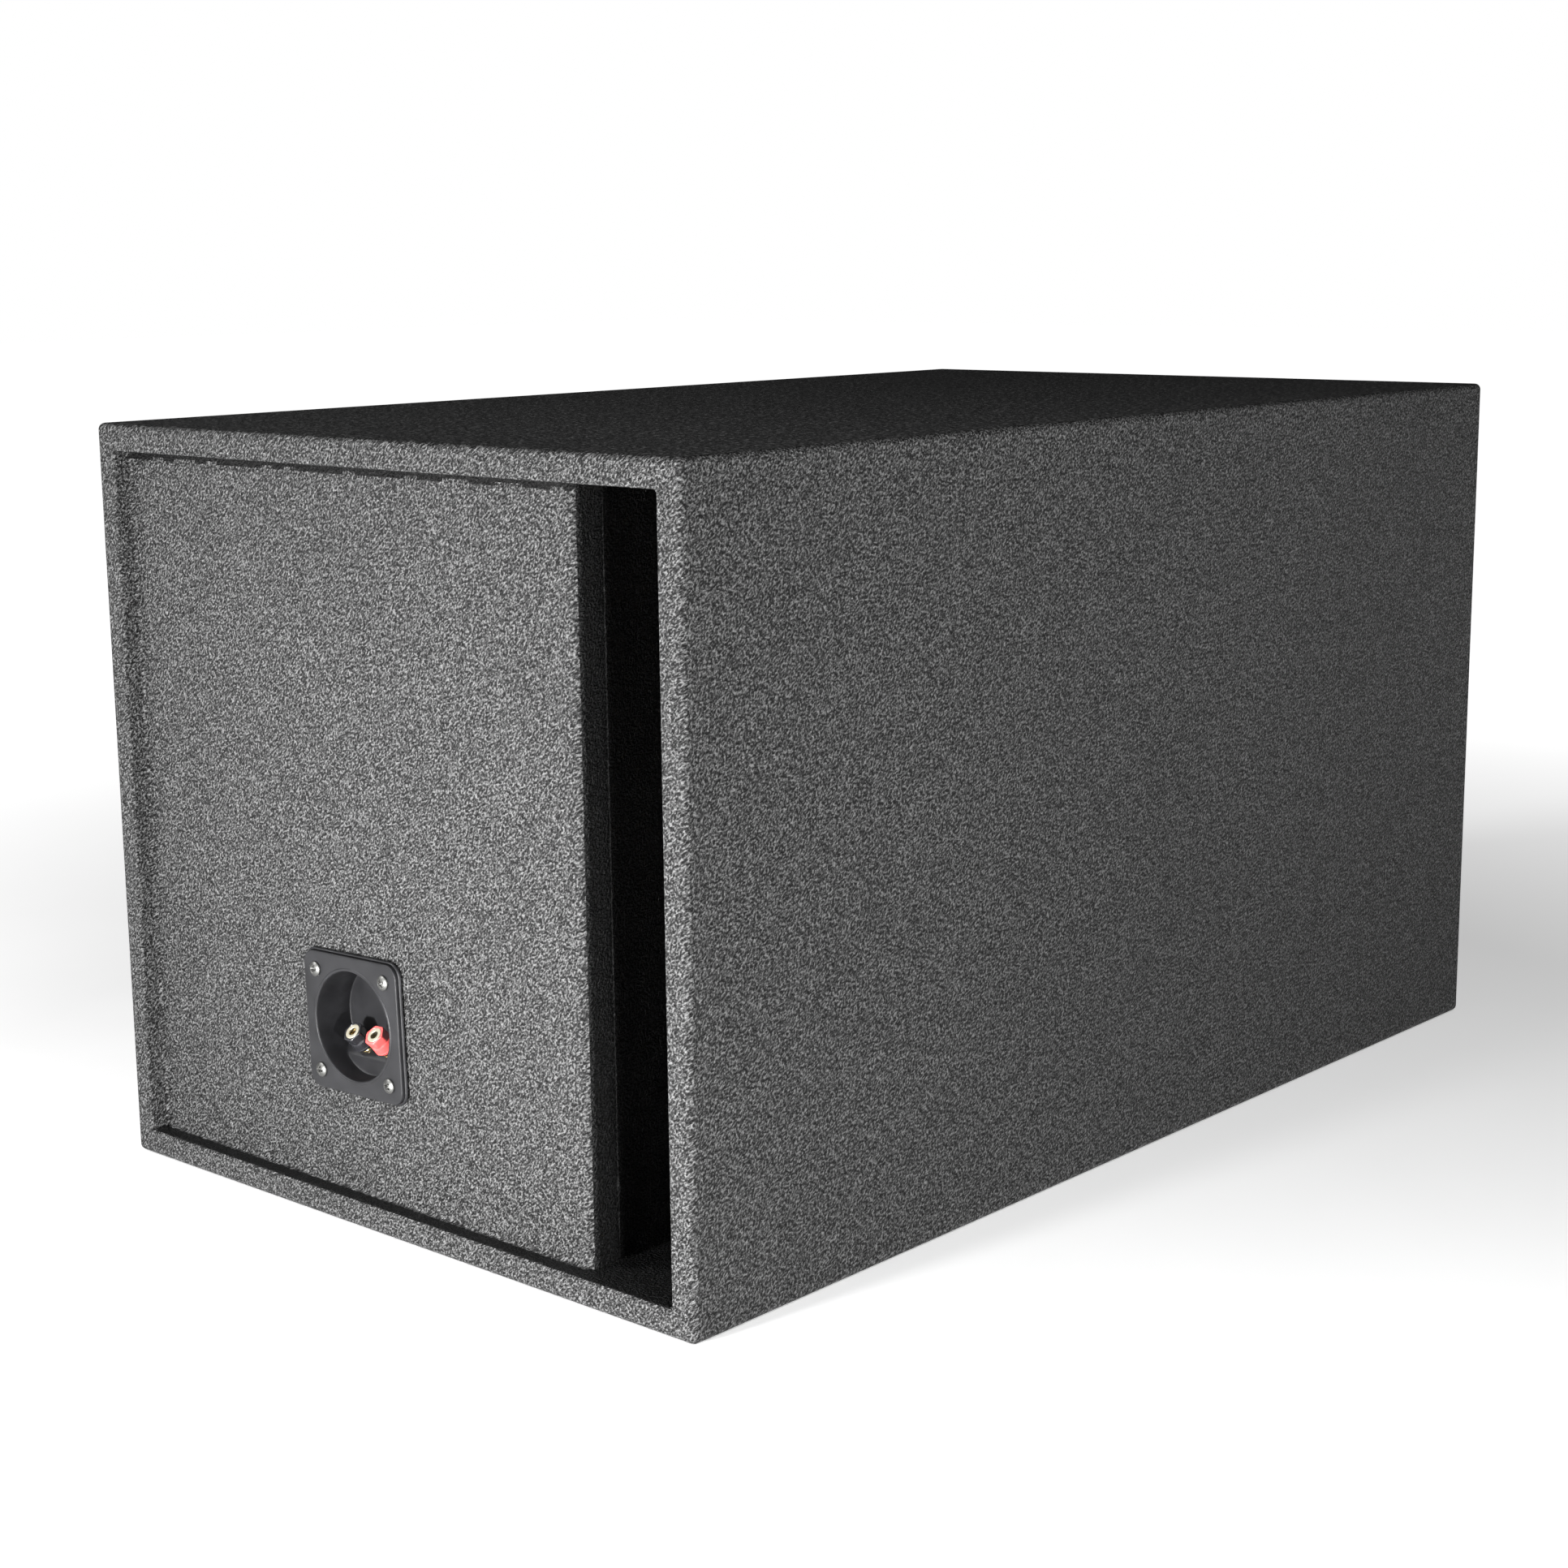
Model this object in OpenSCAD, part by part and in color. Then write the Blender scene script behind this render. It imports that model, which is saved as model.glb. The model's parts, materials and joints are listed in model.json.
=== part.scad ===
// Vented subwoofer cabinet: slot port, recessed terminal cup and one 15 inch driver.
// Origin at the centre of the underside. +X points out of the port end,
// -Y points out of the driver face and +Z points up. Sizes are in millimetres.

/* [Cabinet] */
// Outside length, from the closed end to the port end
box_l = 794; // [780:1:860]
// Outside depth, from the driver face to the plain back
box_d = 473; // [460:1:520]
// Outside height
box_h = 445; // [440:1:500]
// Thickness of the outer panels, the port wall and the braces, coating included
wall = 16; // [15:0.5:19]
// Thickness of the two inset end panels
baffle_t = 20; // [18:0.5:22]
// How far the end panels sit inside the ends of the outer panels
end_inset = 12; // [8:0.5:16]
// Radius on the outer edges
edge_r = 4; // [2:0.5:6]

/* [Port] */
// Clear width of the slot
slot_w = 68.5; // [50:0.5:72]
// Length of the port, from the front of the port end panel to its inner end
port_l = 620; // [560:5:640]
// Radius on the edge of the end panel beside the slot
slot_edge_r = 5.5; // [3:0.5:8]

/* [Inside frame] */
// Distance of each window brace from the middle of the cabinet
brace_x = 215; // [206:1:230]
// Height of each window in a brace
window_h = 160; // [100:1:170]
// Width of each window in a brace
window_w = 290; // [200:1:300]
// Side of the square battens
batten = 20; // [15:1:20]

/* [Terminal cup] */
// Side of the front plate of the cup
cup_plate = 80; // [76:1:90]
// Radius of the round opening
cup_r = 31.5; // [30:0.5:32]
// Depth of the cup behind the end panel's face
cup_depth = 19.5; // [18:0.5:24]
// Distance between the cup's screws
cup_screw_pitch = 59; // [58:0.5:60]
// Position across the end panel
cup_y = -32.9; // [-60:0.1:0]
// Height of the cup's centre above the floor
cup_z = 115; // [90:1:200]
// Small turn of the cup about its own axis
cup_roll = 1.9; // [0:0.1:3]

/* [Binding posts] */
// Distance between the two posts
post_pitch = 21; // [19:0.5:22]
// Radius of the 4 mm plug socket in each post
socket_r = 2; // [1.95:0.01:2.05]
// How far the red cap is unscrewed
red_open = 2.2; // [0:0.1:4]

/* [Driver] */
// Outside diameter of the driver's flange
driver_od = 387; // [380:1:390]
// Diameter of the cut-out in the front panel
cutout_d = 353; // [350:1:356]
// Diameter of the circle of mounting bolts
bolt_circle = 371; // [368:1:372]
// Number of mounting bolts
bolt_count = 8; // [4:4:8]
// Voice coil former, inside diameter
coil_d = 75.8; // [75:0.1:76]

/* [Hidden] */
$fn = 64;

// Cabinet
half_l = box_l / 2;
half_d = box_d / 2;
in_low = wall;
in_high = box_h - wall;
in_front = -half_d + wall;
in_back = half_d - wall;
baffle_out = half_l - end_inset;
baffle_in = baffle_out - baffle_t;
closed_in = -baffle_in;
port_face = in_back - slot_w;
port_back = port_face - wall;
port_inner = baffle_out - port_l;
window_r = 22;
rail_h = (in_high - in_low - 2 * window_h) / 3;
notch_w = 22;
notch_h = 12;
bolt_hole_r = 2.8;
tee_hole_r = 3.3;
tee_hole_depth = 9;
wire_r = 1.7;
wire_z = in_low + wire_r + 0.9;
wire_y_red = -32;
wire_y_black = -40;
clip_places = [240, 285];

// Terminal cup, in its own frame: x across, y up, z out of the end panel
cup_gasket_t = 1;
cup_rear_tier = 2.6;
cup_front_tier = 4.6;
cup_skin = 2.5;
cup_hole_r = cup_r + cup_skin + 0.5;
plate_r = 8;
screw_r = 1.9;
screw_l = 15;
screw_hole_r = 2.3;
head_r = 4.35;
head_h = 2.4;
head_dome_r = 7;
recess_w = 4.4;
recess_t = 1;
recess_turn = 20;
shelf_top = [-11, -cup_depth];
shelf_run = 11;
shelf_skin = 3;
ridge = [shelf_top[0] - shelf_run, shelf_top[1] + shelf_run];
shelf_mid = (shelf_top + ridge) / 2;
skin_step = shelf_skin * sqrt(2);
pocket_front = ridge[1] - shelf_skin;

// Binding posts, in their own frame: z along the post from the shelf's face
stud_r = 3;
stud_tail = -13;
stud_tip = 12.5;
socket_depth = 11;
socket_point = 1.2;
collar_h = 1.2;
collar_r = 5;
cap_base = 1.4;
cap_top = 14.7;
hex_base = 8.6;
hex_flats = 11.6;
insert_r = 4.7;
insert_front = 1.2;
insert_seat = 2;
insert_gap = 0.1;
thread_gap = 0.05;
washer_r = 5.5;
washer_t = 1;
lug_t = 0.8;
lug_w = 6.3;
lug_reach = 18;
nut_flats = 10;
nut_t = 3.6;
grip_start = 9.5;
grip_l = 9.5;
barrel_l = 5;

// Driver, in its own frame: z out of the front panel's face, z = 0 on that face
driver_z = box_h / 2;
seal_t = 2;
flange_t = 4;
flange_z = seal_t + flange_t;
frame_r = cutout_d / 2 - 2.5;
frame_in = 168;
pot_r = 106;
pot_floor = -112;
ledge_z = -80;
ledge_r = 88;
coil_r = coil_d / 2;
former_t = 0.3;
gap_r = coil_r + 2.7;
plate_t = 8;
magnet_t = 24;
yoke_t = 10;
magnet_r = 95;
vent_r = 14;
motor_bolt_ring = 62;
motor_bolt_r = 2.5;
magnet_top = pot_floor - plate_t;
magnet_low = magnet_top - magnet_t;
neck_z = -66;
cone_edge_r = 151.5;
cone_t = 1.5;
lip_r = 143;
roll_r = 161.5;
roll_out = 11.1;
roll_t = 1.2;
trim_out = 180;
trim_in = 173;
trim_h = 4;
dust_r = 54;
dust_rise = 17;
bolt_r = 2.5;
arm_count = 8;
block_z = -93;
tag_step = 7;
tag_end = 127;
wire_start_x = tag_end + 1.4 + barrel_l;
red_tag_y = -half_d - block_z + tag_step;
black_tag_y = -half_d - block_z - tag_step;
wire_end_x = baffle_out - 34.5;

// Routes of the two wires: from the driver's tags, down to the floor, and up to the cup
red_route = [
  [wire_start_x, red_tag_y, driver_z], [143, red_tag_y, 221], [149, -136, 210], [150, -135, 180],
  [150, -134, 120], [150, -132, 60], [152, -127, 30], [160, -112, wire_z], [168, -80, wire_z],
  [178, -50, wire_z], [195, -34, wire_z], [215, wire_y_red, wire_z], [240, wire_y_red, wire_z],
  [285, wire_y_red, wire_z], [305, -31, 21], [319, -28, 38], [324, -25, 65], [326, -23, 98],
  [331, -22.3, 119], [340, -22.3, 122.6], [wire_end_x, -22.3, 113.2]
];
black_route = [
  [wire_start_x, black_tag_y, driver_z], [143, black_tag_y, 221], [149, -150, 210], [150, -149, 180],
  [150, -148, 120], [150, -146, 60], [152, -140, 30], [161, -124, wire_z], [176, -86, wire_z],
  [187, -57, wire_z], [201, -42, wire_z], [218, wire_y_black, wire_z], [240, wire_y_black, wire_z],
  [285, wire_y_black, wire_z], [305, -41, 21], [319, -42, 38], [324, -43, 65], [326, -43.2, 98],
  [331, -43.3, 118], [340, -43.3, 121.8], [wire_end_x, -43.3, 112.5]
];

// Height of the cone's front face at radius r: nearly straight, a little flared
function cone_z(r) = neck_z + (flange_z - 1 - neck_z) * pow((r - coil_r) / (lip_r - coil_r), 1.1);

// Smooth curve through hand-placed points
function spline_at(p, i, t) =
  let (
    a = p[max(i - 1, 0)],
    b = p[i],
    c = p[min(i + 1, len(p) - 1)],
    d = p[min(i + 2, len(p) - 1)]
  )
  0.5 * (2 * b + t * (c - a) + t * t * (2 * a - 5 * b + 4 * c - d)
    + t * t * t * (3 * b - a - 3 * c + d));

function smooth_path(p, steps) = [
  for (i = [0:len(p) - 2]) for (k = [0:steps - 1]) spline_at(p, i, k / steps),
  p[len(p) - 1]
];

function unit(v) = v / norm(v);

// A ring's plane turns with the path, held square to a fixed side direction
function ring_points(c, tangent, side, r, sides) =
  let (u = unit(cross(tangent, side)), v = cross(unit(tangent), u))
  [for (k = [0:sides - 1]) c + r * (cos(360 * k / sides) * u + sin(360 * k / sides) * v)];

module tube(points, r, side, steps = 3, sides = 8) {
  path = smooth_path(points, steps);
  n = len(path);
  rings = [
    for (i = [0:n - 1])
      each ring_points(path[i], path[min(i + 1, n - 1)] - path[max(i - 1, 0)], side, r, sides)
  ];
  skin = [
    for (i = [0:n - 2]) for (k = [0:sides - 1])
      [i * sides + k, i * sides + (k + 1) % sides, (i + 1) * sides + (k + 1) % sides, (i + 1) * sides + k]
  ];
  first = [for (k = [0:sides - 1]) sides - 1 - k];
  last = [for (k = [0:sides - 1]) (n - 1) * sides + k];
  polyhedron(rings, concat([first, last], skin));
}

// Flat outline with round corners, centred
module round_rect(w, h, r) {
  square([w - 2 * r, h], center = true);
  square([w, h - 2 * r], center = true);
  for (x = [-1, 1]) for (y = [-1, 1])
    translate([x * (w / 2 - r), y * (h / 2 - r)]) circle(r);
}

module ring(r_out, r_in, h) {
  difference() {
    cylinder(r = r_out, h = h);
    translate([0, 0, -1]) cylinder(r = r_in, h = h + 2);
  }
}

module block(low, high) {
  translate(low) cube(high - low);
}

// The whole outer shape with its edges rounded, which each outer panel is cut from
module outer_shape() {
  intersection() {
    linear_extrude(box_h) round_rect(box_l, box_d, edge_r);
    translate([-half_l, 0, box_h / 2]) rotate([90, 0, 90])
      linear_extrude(box_l) round_rect(box_d, box_h, edge_r);
    translate([0, half_d, box_h / 2]) rotate([90, 0, 0])
      linear_extrude(box_d) round_rect(box_l, box_h, edge_r);
  }
}

module outer_panel(low, high) {
  color("#303032") intersection() {
    outer_shape();
    block(low, high);
  }
}

// Places things on the cup, the posts and the driver
module at_cup() {
  translate([baffle_out, cup_y, cup_z]) rotate([cup_roll, 0, 0]) rotate([90, 0, 90]) children();
}

module at_post(side) {
  at_cup() translate([side * post_pitch / 2, shelf_mid[0], shelf_mid[1]]) rotate([-45, 0, 0]) children();
}

module at_driver() {
  translate([0, -half_d, driver_z]) rotate([90, 0, 0]) children();
}

module at_cup_screws() {
  for (x = [-1, 1]) for (y = [-1, 1])
    translate([x * cup_screw_pitch / 2, y * cup_screw_pitch / 2, 0]) children();
}

module at_bolts() {
  for (i = [0:bolt_count - 1])
    rotate(360 * (i + 0.5) / bolt_count) translate([bolt_circle / 2, 0, 0]) children();
}

module at_motor_bolts() {
  for (i = [0:3]) rotate(90 * i + 45) translate([motor_bolt_ring, 0, 0]) children();
}

// ---- Panels ----

module top_panel() {
  outer_panel([-half_l, -half_d, in_high], [half_l, half_d, box_h]);
}

module bottom_panel() {
  outer_panel([-half_l, -half_d, 0], [half_l, half_d, in_low]);
}

module back_panel() {
  outer_panel([-half_l, in_back, in_low], [half_l, half_d, in_high]);
}

module front_panel() {
  difference() {
    outer_panel([-half_l, -half_d, in_low], [half_l, in_front, in_high]);
    at_driver() {
      translate([0, 0, -wall - 1]) cylinder(r = cutout_d / 2, h = wall + 2);
      at_bolts() translate([0, 0, -wall - 1]) {
        cylinder(r = bolt_hole_r, h = wall + 2);
        cylinder(r = tee_hole_r, h = tee_hole_depth + 1);
      }
    }
  }
}

// End panel beside the slot, with the edge next to the slot rounded over
module port_end_panel() {
  color("#303032") difference() {
    translate([0, 0, in_low]) linear_extrude(in_high - in_low) difference() {
      translate([baffle_in, in_front]) square([baffle_t, port_face - in_front]);
      translate([baffle_out - slot_edge_r, port_face - slot_edge_r]) difference() {
        square(slot_edge_r + 1);
        circle(slot_edge_r);
      }
    }
    at_cup() {
      translate([0, 0, -baffle_t - 1]) cylinder(r = cup_hole_r, h = baffle_t + 2);
      at_cup_screws() translate([0, 0, -screw_l - 1]) cylinder(r = screw_r + thread_gap, h = screw_l + 2);
    }
  }
}

module closed_end_panel() {
  color("#303032") block([-baffle_out, in_front, in_low], [closed_in, in_back, in_high]);
}

// Long wall of the slot port, with its inner end fully rounded
module port_wall() {
  color("#262628") translate([0, 0, in_low]) linear_extrude(in_high - in_low) {
    translate([port_inner + wall / 2, port_back]) square([baffle_in - port_inner - wall / 2, wall]);
    translate([port_inner + wall / 2, port_back + wall / 2]) circle(wall / 2);
  }
}

// Board across the cabinet with two windows and a notch for the wires
module window_brace(x) {
  middle = (in_front + port_back) / 2;
  color("#b59b74") translate([x - wall / 2, 0, 0]) rotate([90, 0, 90]) linear_extrude(wall)
    difference() {
      translate([in_front, in_low]) square([port_back - in_front, in_high - in_low]);
      for (k = [0, 1])
        translate([middle, in_low + rail_h + window_h / 2 + k * (window_h + rail_h)])
          round_rect(window_w, window_h, window_r);
      translate([(wire_y_red + wire_y_black) / 2 - notch_w / 2, in_low - 1]) square([notch_w, notch_h + 1]);
    }
}

module port_side_brace() {
  window_brace(brace_x);
}

module closed_side_brace() {
  window_brace(-brace_x);
}

module batten_bar(low, high) {
  color("#c9ad7f") block(low, high);
}

module port_end_top_batten() {
  batten_bar([baffle_in - batten, in_front, in_high - batten], [baffle_in, port_back, in_high]);
}

module port_end_bottom_batten() {
  batten_bar([baffle_in - batten, in_front, in_low], [baffle_in, port_back, in_low + batten]);
}

module port_end_front_batten() {
  batten_bar([baffle_in - batten, in_front, in_low + batten],
    [baffle_in, in_front + batten, in_high - batten]);
}

module closed_end_top_batten() {
  batten_bar([closed_in, in_front, in_high - batten], [closed_in + batten, in_back, in_high]);
}

module closed_end_bottom_batten() {
  batten_bar([closed_in, in_front, in_low], [closed_in + batten, in_back, in_low + batten]);
}

module closed_end_front_batten() {
  batten_bar([closed_in, in_front, in_low + batten],
    [closed_in + batten, in_front + batten, in_high - batten]);
}

module closed_end_back_batten() {
  batten_bar([closed_in, in_back - batten, in_low + batten],
    [closed_in + batten, in_back, in_high - batten]);
}

// ---- Terminal cup ----

module terminal_gasket() {
  color("#1b1b1b") at_cup() difference() {
    linear_extrude(cup_gasket_t) round_rect(cup_plate - 3, cup_plate - 3, plate_r);
    translate([0, 0, -1]) cylinder(r = cup_hole_r, h = 3);
    at_cup_screws() translate([0, 0, -1]) cylinder(r = screw_hole_r, h = 3);
  }
}

// Plate in two steps, round bowl, and a sloping shelf that carries the posts
module terminal_cup() {
  color("#3a3a3c") at_cup() difference() {
    union() {
      translate([0, 0, cup_gasket_t]) linear_extrude(cup_rear_tier - cup_gasket_t)
        round_rect(cup_plate + 2.4, cup_plate + 2.4, plate_r + 1);
      translate([0, 0, cup_rear_tier]) linear_extrude(cup_front_tier - cup_rear_tier)
        round_rect(cup_plate, cup_plate, plate_r);
      translate([0, 0, -cup_depth - cup_skin]) cylinder(r = cup_r + cup_skin, h = cup_depth + cup_skin + 2);
    }
    difference() {
      translate([0, 0, -cup_depth]) cylinder(r = cup_r, h = cup_depth + 10);
      shelf_prism(cup_r + 2, [
        shelf_top, ridge, [-cup_r - 2, ridge[1] + 1.5], [-cup_r - 2, -cup_depth - 1],
        [shelf_top[0], -cup_depth - 1]
      ]);
    }
    intersection() {
      translate([0, 0, -cup_depth - cup_skin - 1]) cylinder(r = cup_r, h = cup_depth + cup_skin);
      shelf_prism(cup_r + 2, [
        [pocket_y(-cup_depth - cup_skin - 1), -cup_depth - cup_skin - 1],
        [pocket_y(pocket_front), pocket_front],
        [-cup_r - 2, pocket_front + 1.2],
        [-cup_r - 2, -cup_depth - cup_skin - 1]
      ]);
    }
    for (side = [-1, 1])
      translate([side * post_pitch / 2, shelf_mid[0], shelf_mid[1]]) rotate([-45, 0, 0])
        translate([0, 0, -6]) cylinder(r = stud_r + 0.1, h = 12);
    at_cup_screws() translate([0, 0, -1]) cylinder(r = screw_hole_r, h = 10);
  }
}

// Height of the shelf's inner face at depth z
function pocket_y(z) = shelf_top[0] + shelf_top[1] - skin_step - z;

// Outline in the cup's y and z, drawn out across it
module shelf_prism(half_w, outline) {
  translate([-half_w, 0, 0]) rotate([90, 0, 90]) linear_extrude(2 * half_w) polygon(outline);
}

// Pan-head screws with a cross recess
module terminal_screws() {
  color("#c9c9c6") at_cup() at_cup_screws() difference() {
    union() {
      translate([0, 0, -screw_l]) cylinder(r = screw_r, h = screw_l + cup_front_tier);
      translate([0, 0, cup_front_tier]) intersection() {
        cylinder(r = head_r, h = head_h);
        translate([0, 0, head_h - head_dome_r]) sphere(r = head_dome_r);
      }
    }
    for (a = [0, 90])
      rotate(a + recess_turn)
        translate([-recess_w / 2, -recess_t / 2, cup_front_tier + 1.1]) cube([recess_w, recess_t, 3]);
  }
}

// Threaded brass body of a post, with a plug socket in its tip
module post_body(side) {
  color("#c9a659") at_post(side) difference() {
    union() {
      translate([0, 0, stud_tail]) cylinder(r = stud_r, h = stud_tip - stud_tail);
      cylinder(r = collar_r, h = collar_h);
    }
    rotate_extrude() polygon([
      [0, stud_tip - socket_depth - socket_point], [socket_r, stud_tip - socket_depth],
      [socket_r, stud_tip + 1], [0, stud_tip + 1]
    ]);
  }
}

module black_post() {
  post_body(-1);
}

module red_post() {
  post_body(1);
}

// Brass nut moulded into a cap: it runs on the post's thread
module cap_insert(side, lift) {
  color("#d8c68e") at_post(side) translate([0, 0, lift]) difference() {
    translate([0, 0, cap_base + insert_seat + insert_gap])
      cylinder(r = insert_r, h = cap_top - cap_base - insert_seat - insert_gap);
    translate([0, 0, cap_base]) cylinder(r = stud_r + thread_gap, h = cap_top - insert_front - cap_base);
    cylinder(r = socket_r + 0.3, h = cap_top + 1);
  }
}

module black_cap_insert() {
  cap_insert(-1, 0);
}

module red_cap_insert() {
  cap_insert(1, red_open);
}

// Plastic cap: hexagonal head over a round skirt that bellies out and tucks in
module post_cap(side, lift, tint) {
  color(tint) at_post(side) translate([0, 0, lift]) difference() {
    union() {
      rotate_extrude() polygon([
        [0, cap_base], [5.4, cap_base], [6.6, cap_base + 1.6], [7, cap_base + 2.8],
        [6.9, cap_base + 3.3], [6.3, hex_base + 0.6], [5.6, hex_base + 1.4], [0, hex_base + 1.4]
      ]);
      translate([0, 0, hex_base]) cylinder(r = hex_flats / sqrt(3), h = cap_top - hex_base, $fn = 6);
    }
    translate([0, 0, cap_base + insert_seat]) cylinder(r = insert_r + insert_gap, h = cap_top);
    cylinder(r = stud_r + 0.4, h = cap_top);
  }
}

module black_cap() {
  post_cap(-1, 0, "#17181a");
}

module red_cap() {
  post_cap(1, red_open, "#e8585a");
}

module post_washers() {
  color("#c8c4b8") for (side = [-1, 1])
    at_post(side) translate([0, 0, -shelf_skin - washer_t]) ring(washer_r, stud_r + 0.2, washer_t);
}

// Flat tags under the nuts: the wires push on to them
module post_lugs() {
  color("#cfcabb") for (side = [-1, 1])
    at_post(side) translate([0, 0, -shelf_skin - washer_t - lug_t]) difference() {
      union() {
        cylinder(r = 5, h = lug_t);
        translate([-lug_w / 2, 0, 0]) cube([lug_w, lug_reach, lug_t]);
      }
      translate([0, 0, -1]) cylinder(r = stud_r + 0.1, h = 3);
    }
}

module post_nuts() {
  color("#cdb56b") for (side = [-1, 1])
    at_post(side) translate([0, 0, -shelf_skin - washer_t - lug_t - nut_t]) difference() {
      cylinder(r = nut_flats / sqrt(3), h = nut_t, $fn = 6);
      translate([0, 0, -1]) cylinder(r = stud_r + thread_gap, h = nut_t + 2);
    }
}

// ---- Wiring ----

// Push-on connector: z along the wire, the tag goes in at z = 0
module push_on() {
  difference() {
    translate([-lug_w / 2 - 0.7, -1.5, 0]) cube([lug_w + 1.4, 3, grip_l]);
    translate([-lug_w / 2 - 0.05, -lug_t / 2 - 0.05, -1]) cube([lug_w + 0.1, lug_t + 0.1, grip_l]);
  }
  translate([0, 0, grip_l]) cylinder(r = 2.2, h = barrel_l);
}

module wire_connectors() {
  color("#d8b13a") {
    for (side = [-1, 1])
      at_post(side)
        translate([0, grip_start, -shelf_skin - washer_t - lug_t / 2]) rotate([-90, 0, 0]) push_on();
    at_driver() for (side = [-1, 1])
      translate([tag_end - grip_l + 1, 0, block_z + side * tag_step]) rotate([0, 90, 0]) rotate(90) push_on();
  }
}

module red_wire() {
  color("#b3272b") tube(red_route, wire_r, [0.35, 1, 0.2]);
}

module black_wire() {
  color("#141414") tube(black_route, wire_r, [0.35, 1, 0.2]);
}

// Saddles stuck to the floor, each over both wires
module cable_clips() {
  color("#e6e6e2") for (x = clip_places)
    translate([x - 5, (wire_y_red + wire_y_black) / 2, in_low]) rotate([90, 0, 90]) linear_extrude(10)
      difference() {
        translate([-9, 0]) square([18, 6]);
        for (side = [-1, 1]) translate([side * (wire_y_red - wire_y_black) / 2, wire_z - in_low])
          circle(wire_r + 0.3);
      }
}

// ---- Driver ----

module driver_gasket() {
  color("#202020") at_driver() difference() {
    ring(driver_od / 2 - 0.5, cutout_d / 2 + 0.5, seal_t);
    at_bolts() translate([0, 0, -1]) cylinder(r = 3, h = 4);
  }
}

// Cast frame: flange, arms, ledge for the spider and a pot that holds the motor
module driver_basket() {
  color("#26272a") at_driver() difference() {
    union() {
      rotate_extrude() polygon([
        [driver_od / 2, seal_t], [driver_od / 2, flange_z], [frame_in, flange_z], [frame_in, -16.5],
        [pot_r - 4.5, -75.5], [pot_r - 4.5, pot_floor + 4], [44, pot_floor + 4], [44, pot_floor],
        [pot_r, pot_floor], [pot_r, -78], [frame_r, -18], [frame_r, seal_t]
      ]);
      translate([0, 0, ledge_z - 4]) ring(pot_r - 4.4, ledge_r, 4);
    }
    for (i = [0:arm_count - 1]) rotate(360 * (i + 0.5) / arm_count) {
      translate([0, 0, -71]) linear_extrude(48) wedge(frame_r + 10, 13);
      translate([0, 0, pot_floor + 8]) linear_extrude(15) wedge(pot_r + 10, 13);
    }
    at_bolts() cylinder(r = 3, h = 10);
    at_motor_bolts() translate([0, 0, pot_floor - 1]) cylinder(r = motor_bolt_r + 0.25, h = 6);
  }
}

// Slice of a disc from near the basket's middle out to r, half angle a each way
module wedge(r, a) {
  polygon([
    [pot_r - 8, -(pot_r - 8) * tan(a) + 4], [r, -r * tan(a) + 4],
    [r, r * tan(a) - 4], [pot_r - 8, (pot_r - 8) * tan(a) - 4]
  ]);
}

module top_plate() {
  color("#6f7276") at_driver() translate([0, 0, pot_floor - plate_t]) difference() {
    ring(80, gap_r, plate_t);
    at_motor_bolts() translate([0, 0, 1]) cylinder(r = motor_bolt_r + thread_gap, h = plate_t);
  }
}

module magnet() {
  color("#3b3a3a") at_driver() translate([0, 0, magnet_low]) ring(magnet_r, 46, magnet_t);
}

// Back plate and vented pole in one piece
module pole_yoke() {
  color("#6f7276") at_driver() rotate_extrude() polygon([
    [vent_r, pot_floor + 4], [vent_r, magnet_low - 3], [vent_r + 7, magnet_low - yoke_t],
    [87, magnet_low - yoke_t], [90, magnet_low - yoke_t + 3], [90, magnet_low],
    [coil_r - 0.7, magnet_low], [coil_r - 0.7, pot_floor + 4]
  ]);
}

module motor_bolts() {
  color("#9a9a98") at_driver() at_motor_bolts() {
    translate([0, 0, pot_floor - 6]) cylinder(r = motor_bolt_r, h = 10);
    translate([0, 0, pot_floor + 4]) cylinder(r = 4.2, h = 3.5);
  }
}

module coil_former() {
  color("#d6c37a") at_driver() translate([0, 0, -129]) ring(coil_r + former_t, coil_r, 129 + neck_z + 4);
}

module voice_coil() {
  color("#b8672f") at_driver() translate([0, 0, -128]) ring(coil_r + 1.7, coil_r + former_t, 24);
}

// Corrugated cloth disc from the former to the ledge
module spider() {
  rise = 2;
  thick = 0.7;
  inner = coil_r + former_t;
  rolls = 5;
  first = inner + 3;
  pitch = (ledge_r - 2 - first) / rolls;
  top = [for (k = [0:rolls * 8]) [first + k * pitch / 8, ledge_z + thick + rise * sin(45 * k)]];
  bottom = [for (k = [rolls * 8:-1:0]) [first + k * pitch / 8, ledge_z + rise * sin(45 * k)]];
  color("#b98e4e") at_driver() rotate_extrude() polygon(concat(
    [[inner, ledge_z + thick]], top, [[pot_r - 5, ledge_z + thick], [pot_r - 5, ledge_z]],
    bottom, [[inner, ledge_z]]
  ));
}

module cone() {
  inner = coil_r + former_t;
  steps = 10;
  run = [for (k = [0:steps]) inner + k * (lip_r - inner) / steps];
  front = [for (r = run) [r, cone_z(r)]];
  back = [for (k = [steps:-1:0]) [run[k], cone_z(run[k]) - cone_t * 1.2]];
  color("#1c1c1e") at_driver() rotate_extrude() polygon(concat(
    front, [[lip_r + 1, flange_z], [cone_edge_r, flange_z], [cone_edge_r, flange_z - cone_t]], back
  ));
}

module dust_cap() {
  low = cone_z(dust_r);
  big_r = (dust_r * dust_r + dust_rise * dust_rise) / (2 * dust_rise);
  color("#202022") at_driver() intersection() {
    translate([0, 0, low]) cylinder(r = dust_r + 5, h = dust_rise + 5);
    translate([0, 0, low + dust_rise - big_r]) difference() {
      sphere(r = big_r);
      sphere(r = big_r - 0.9);
    }
  }
}

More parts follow.
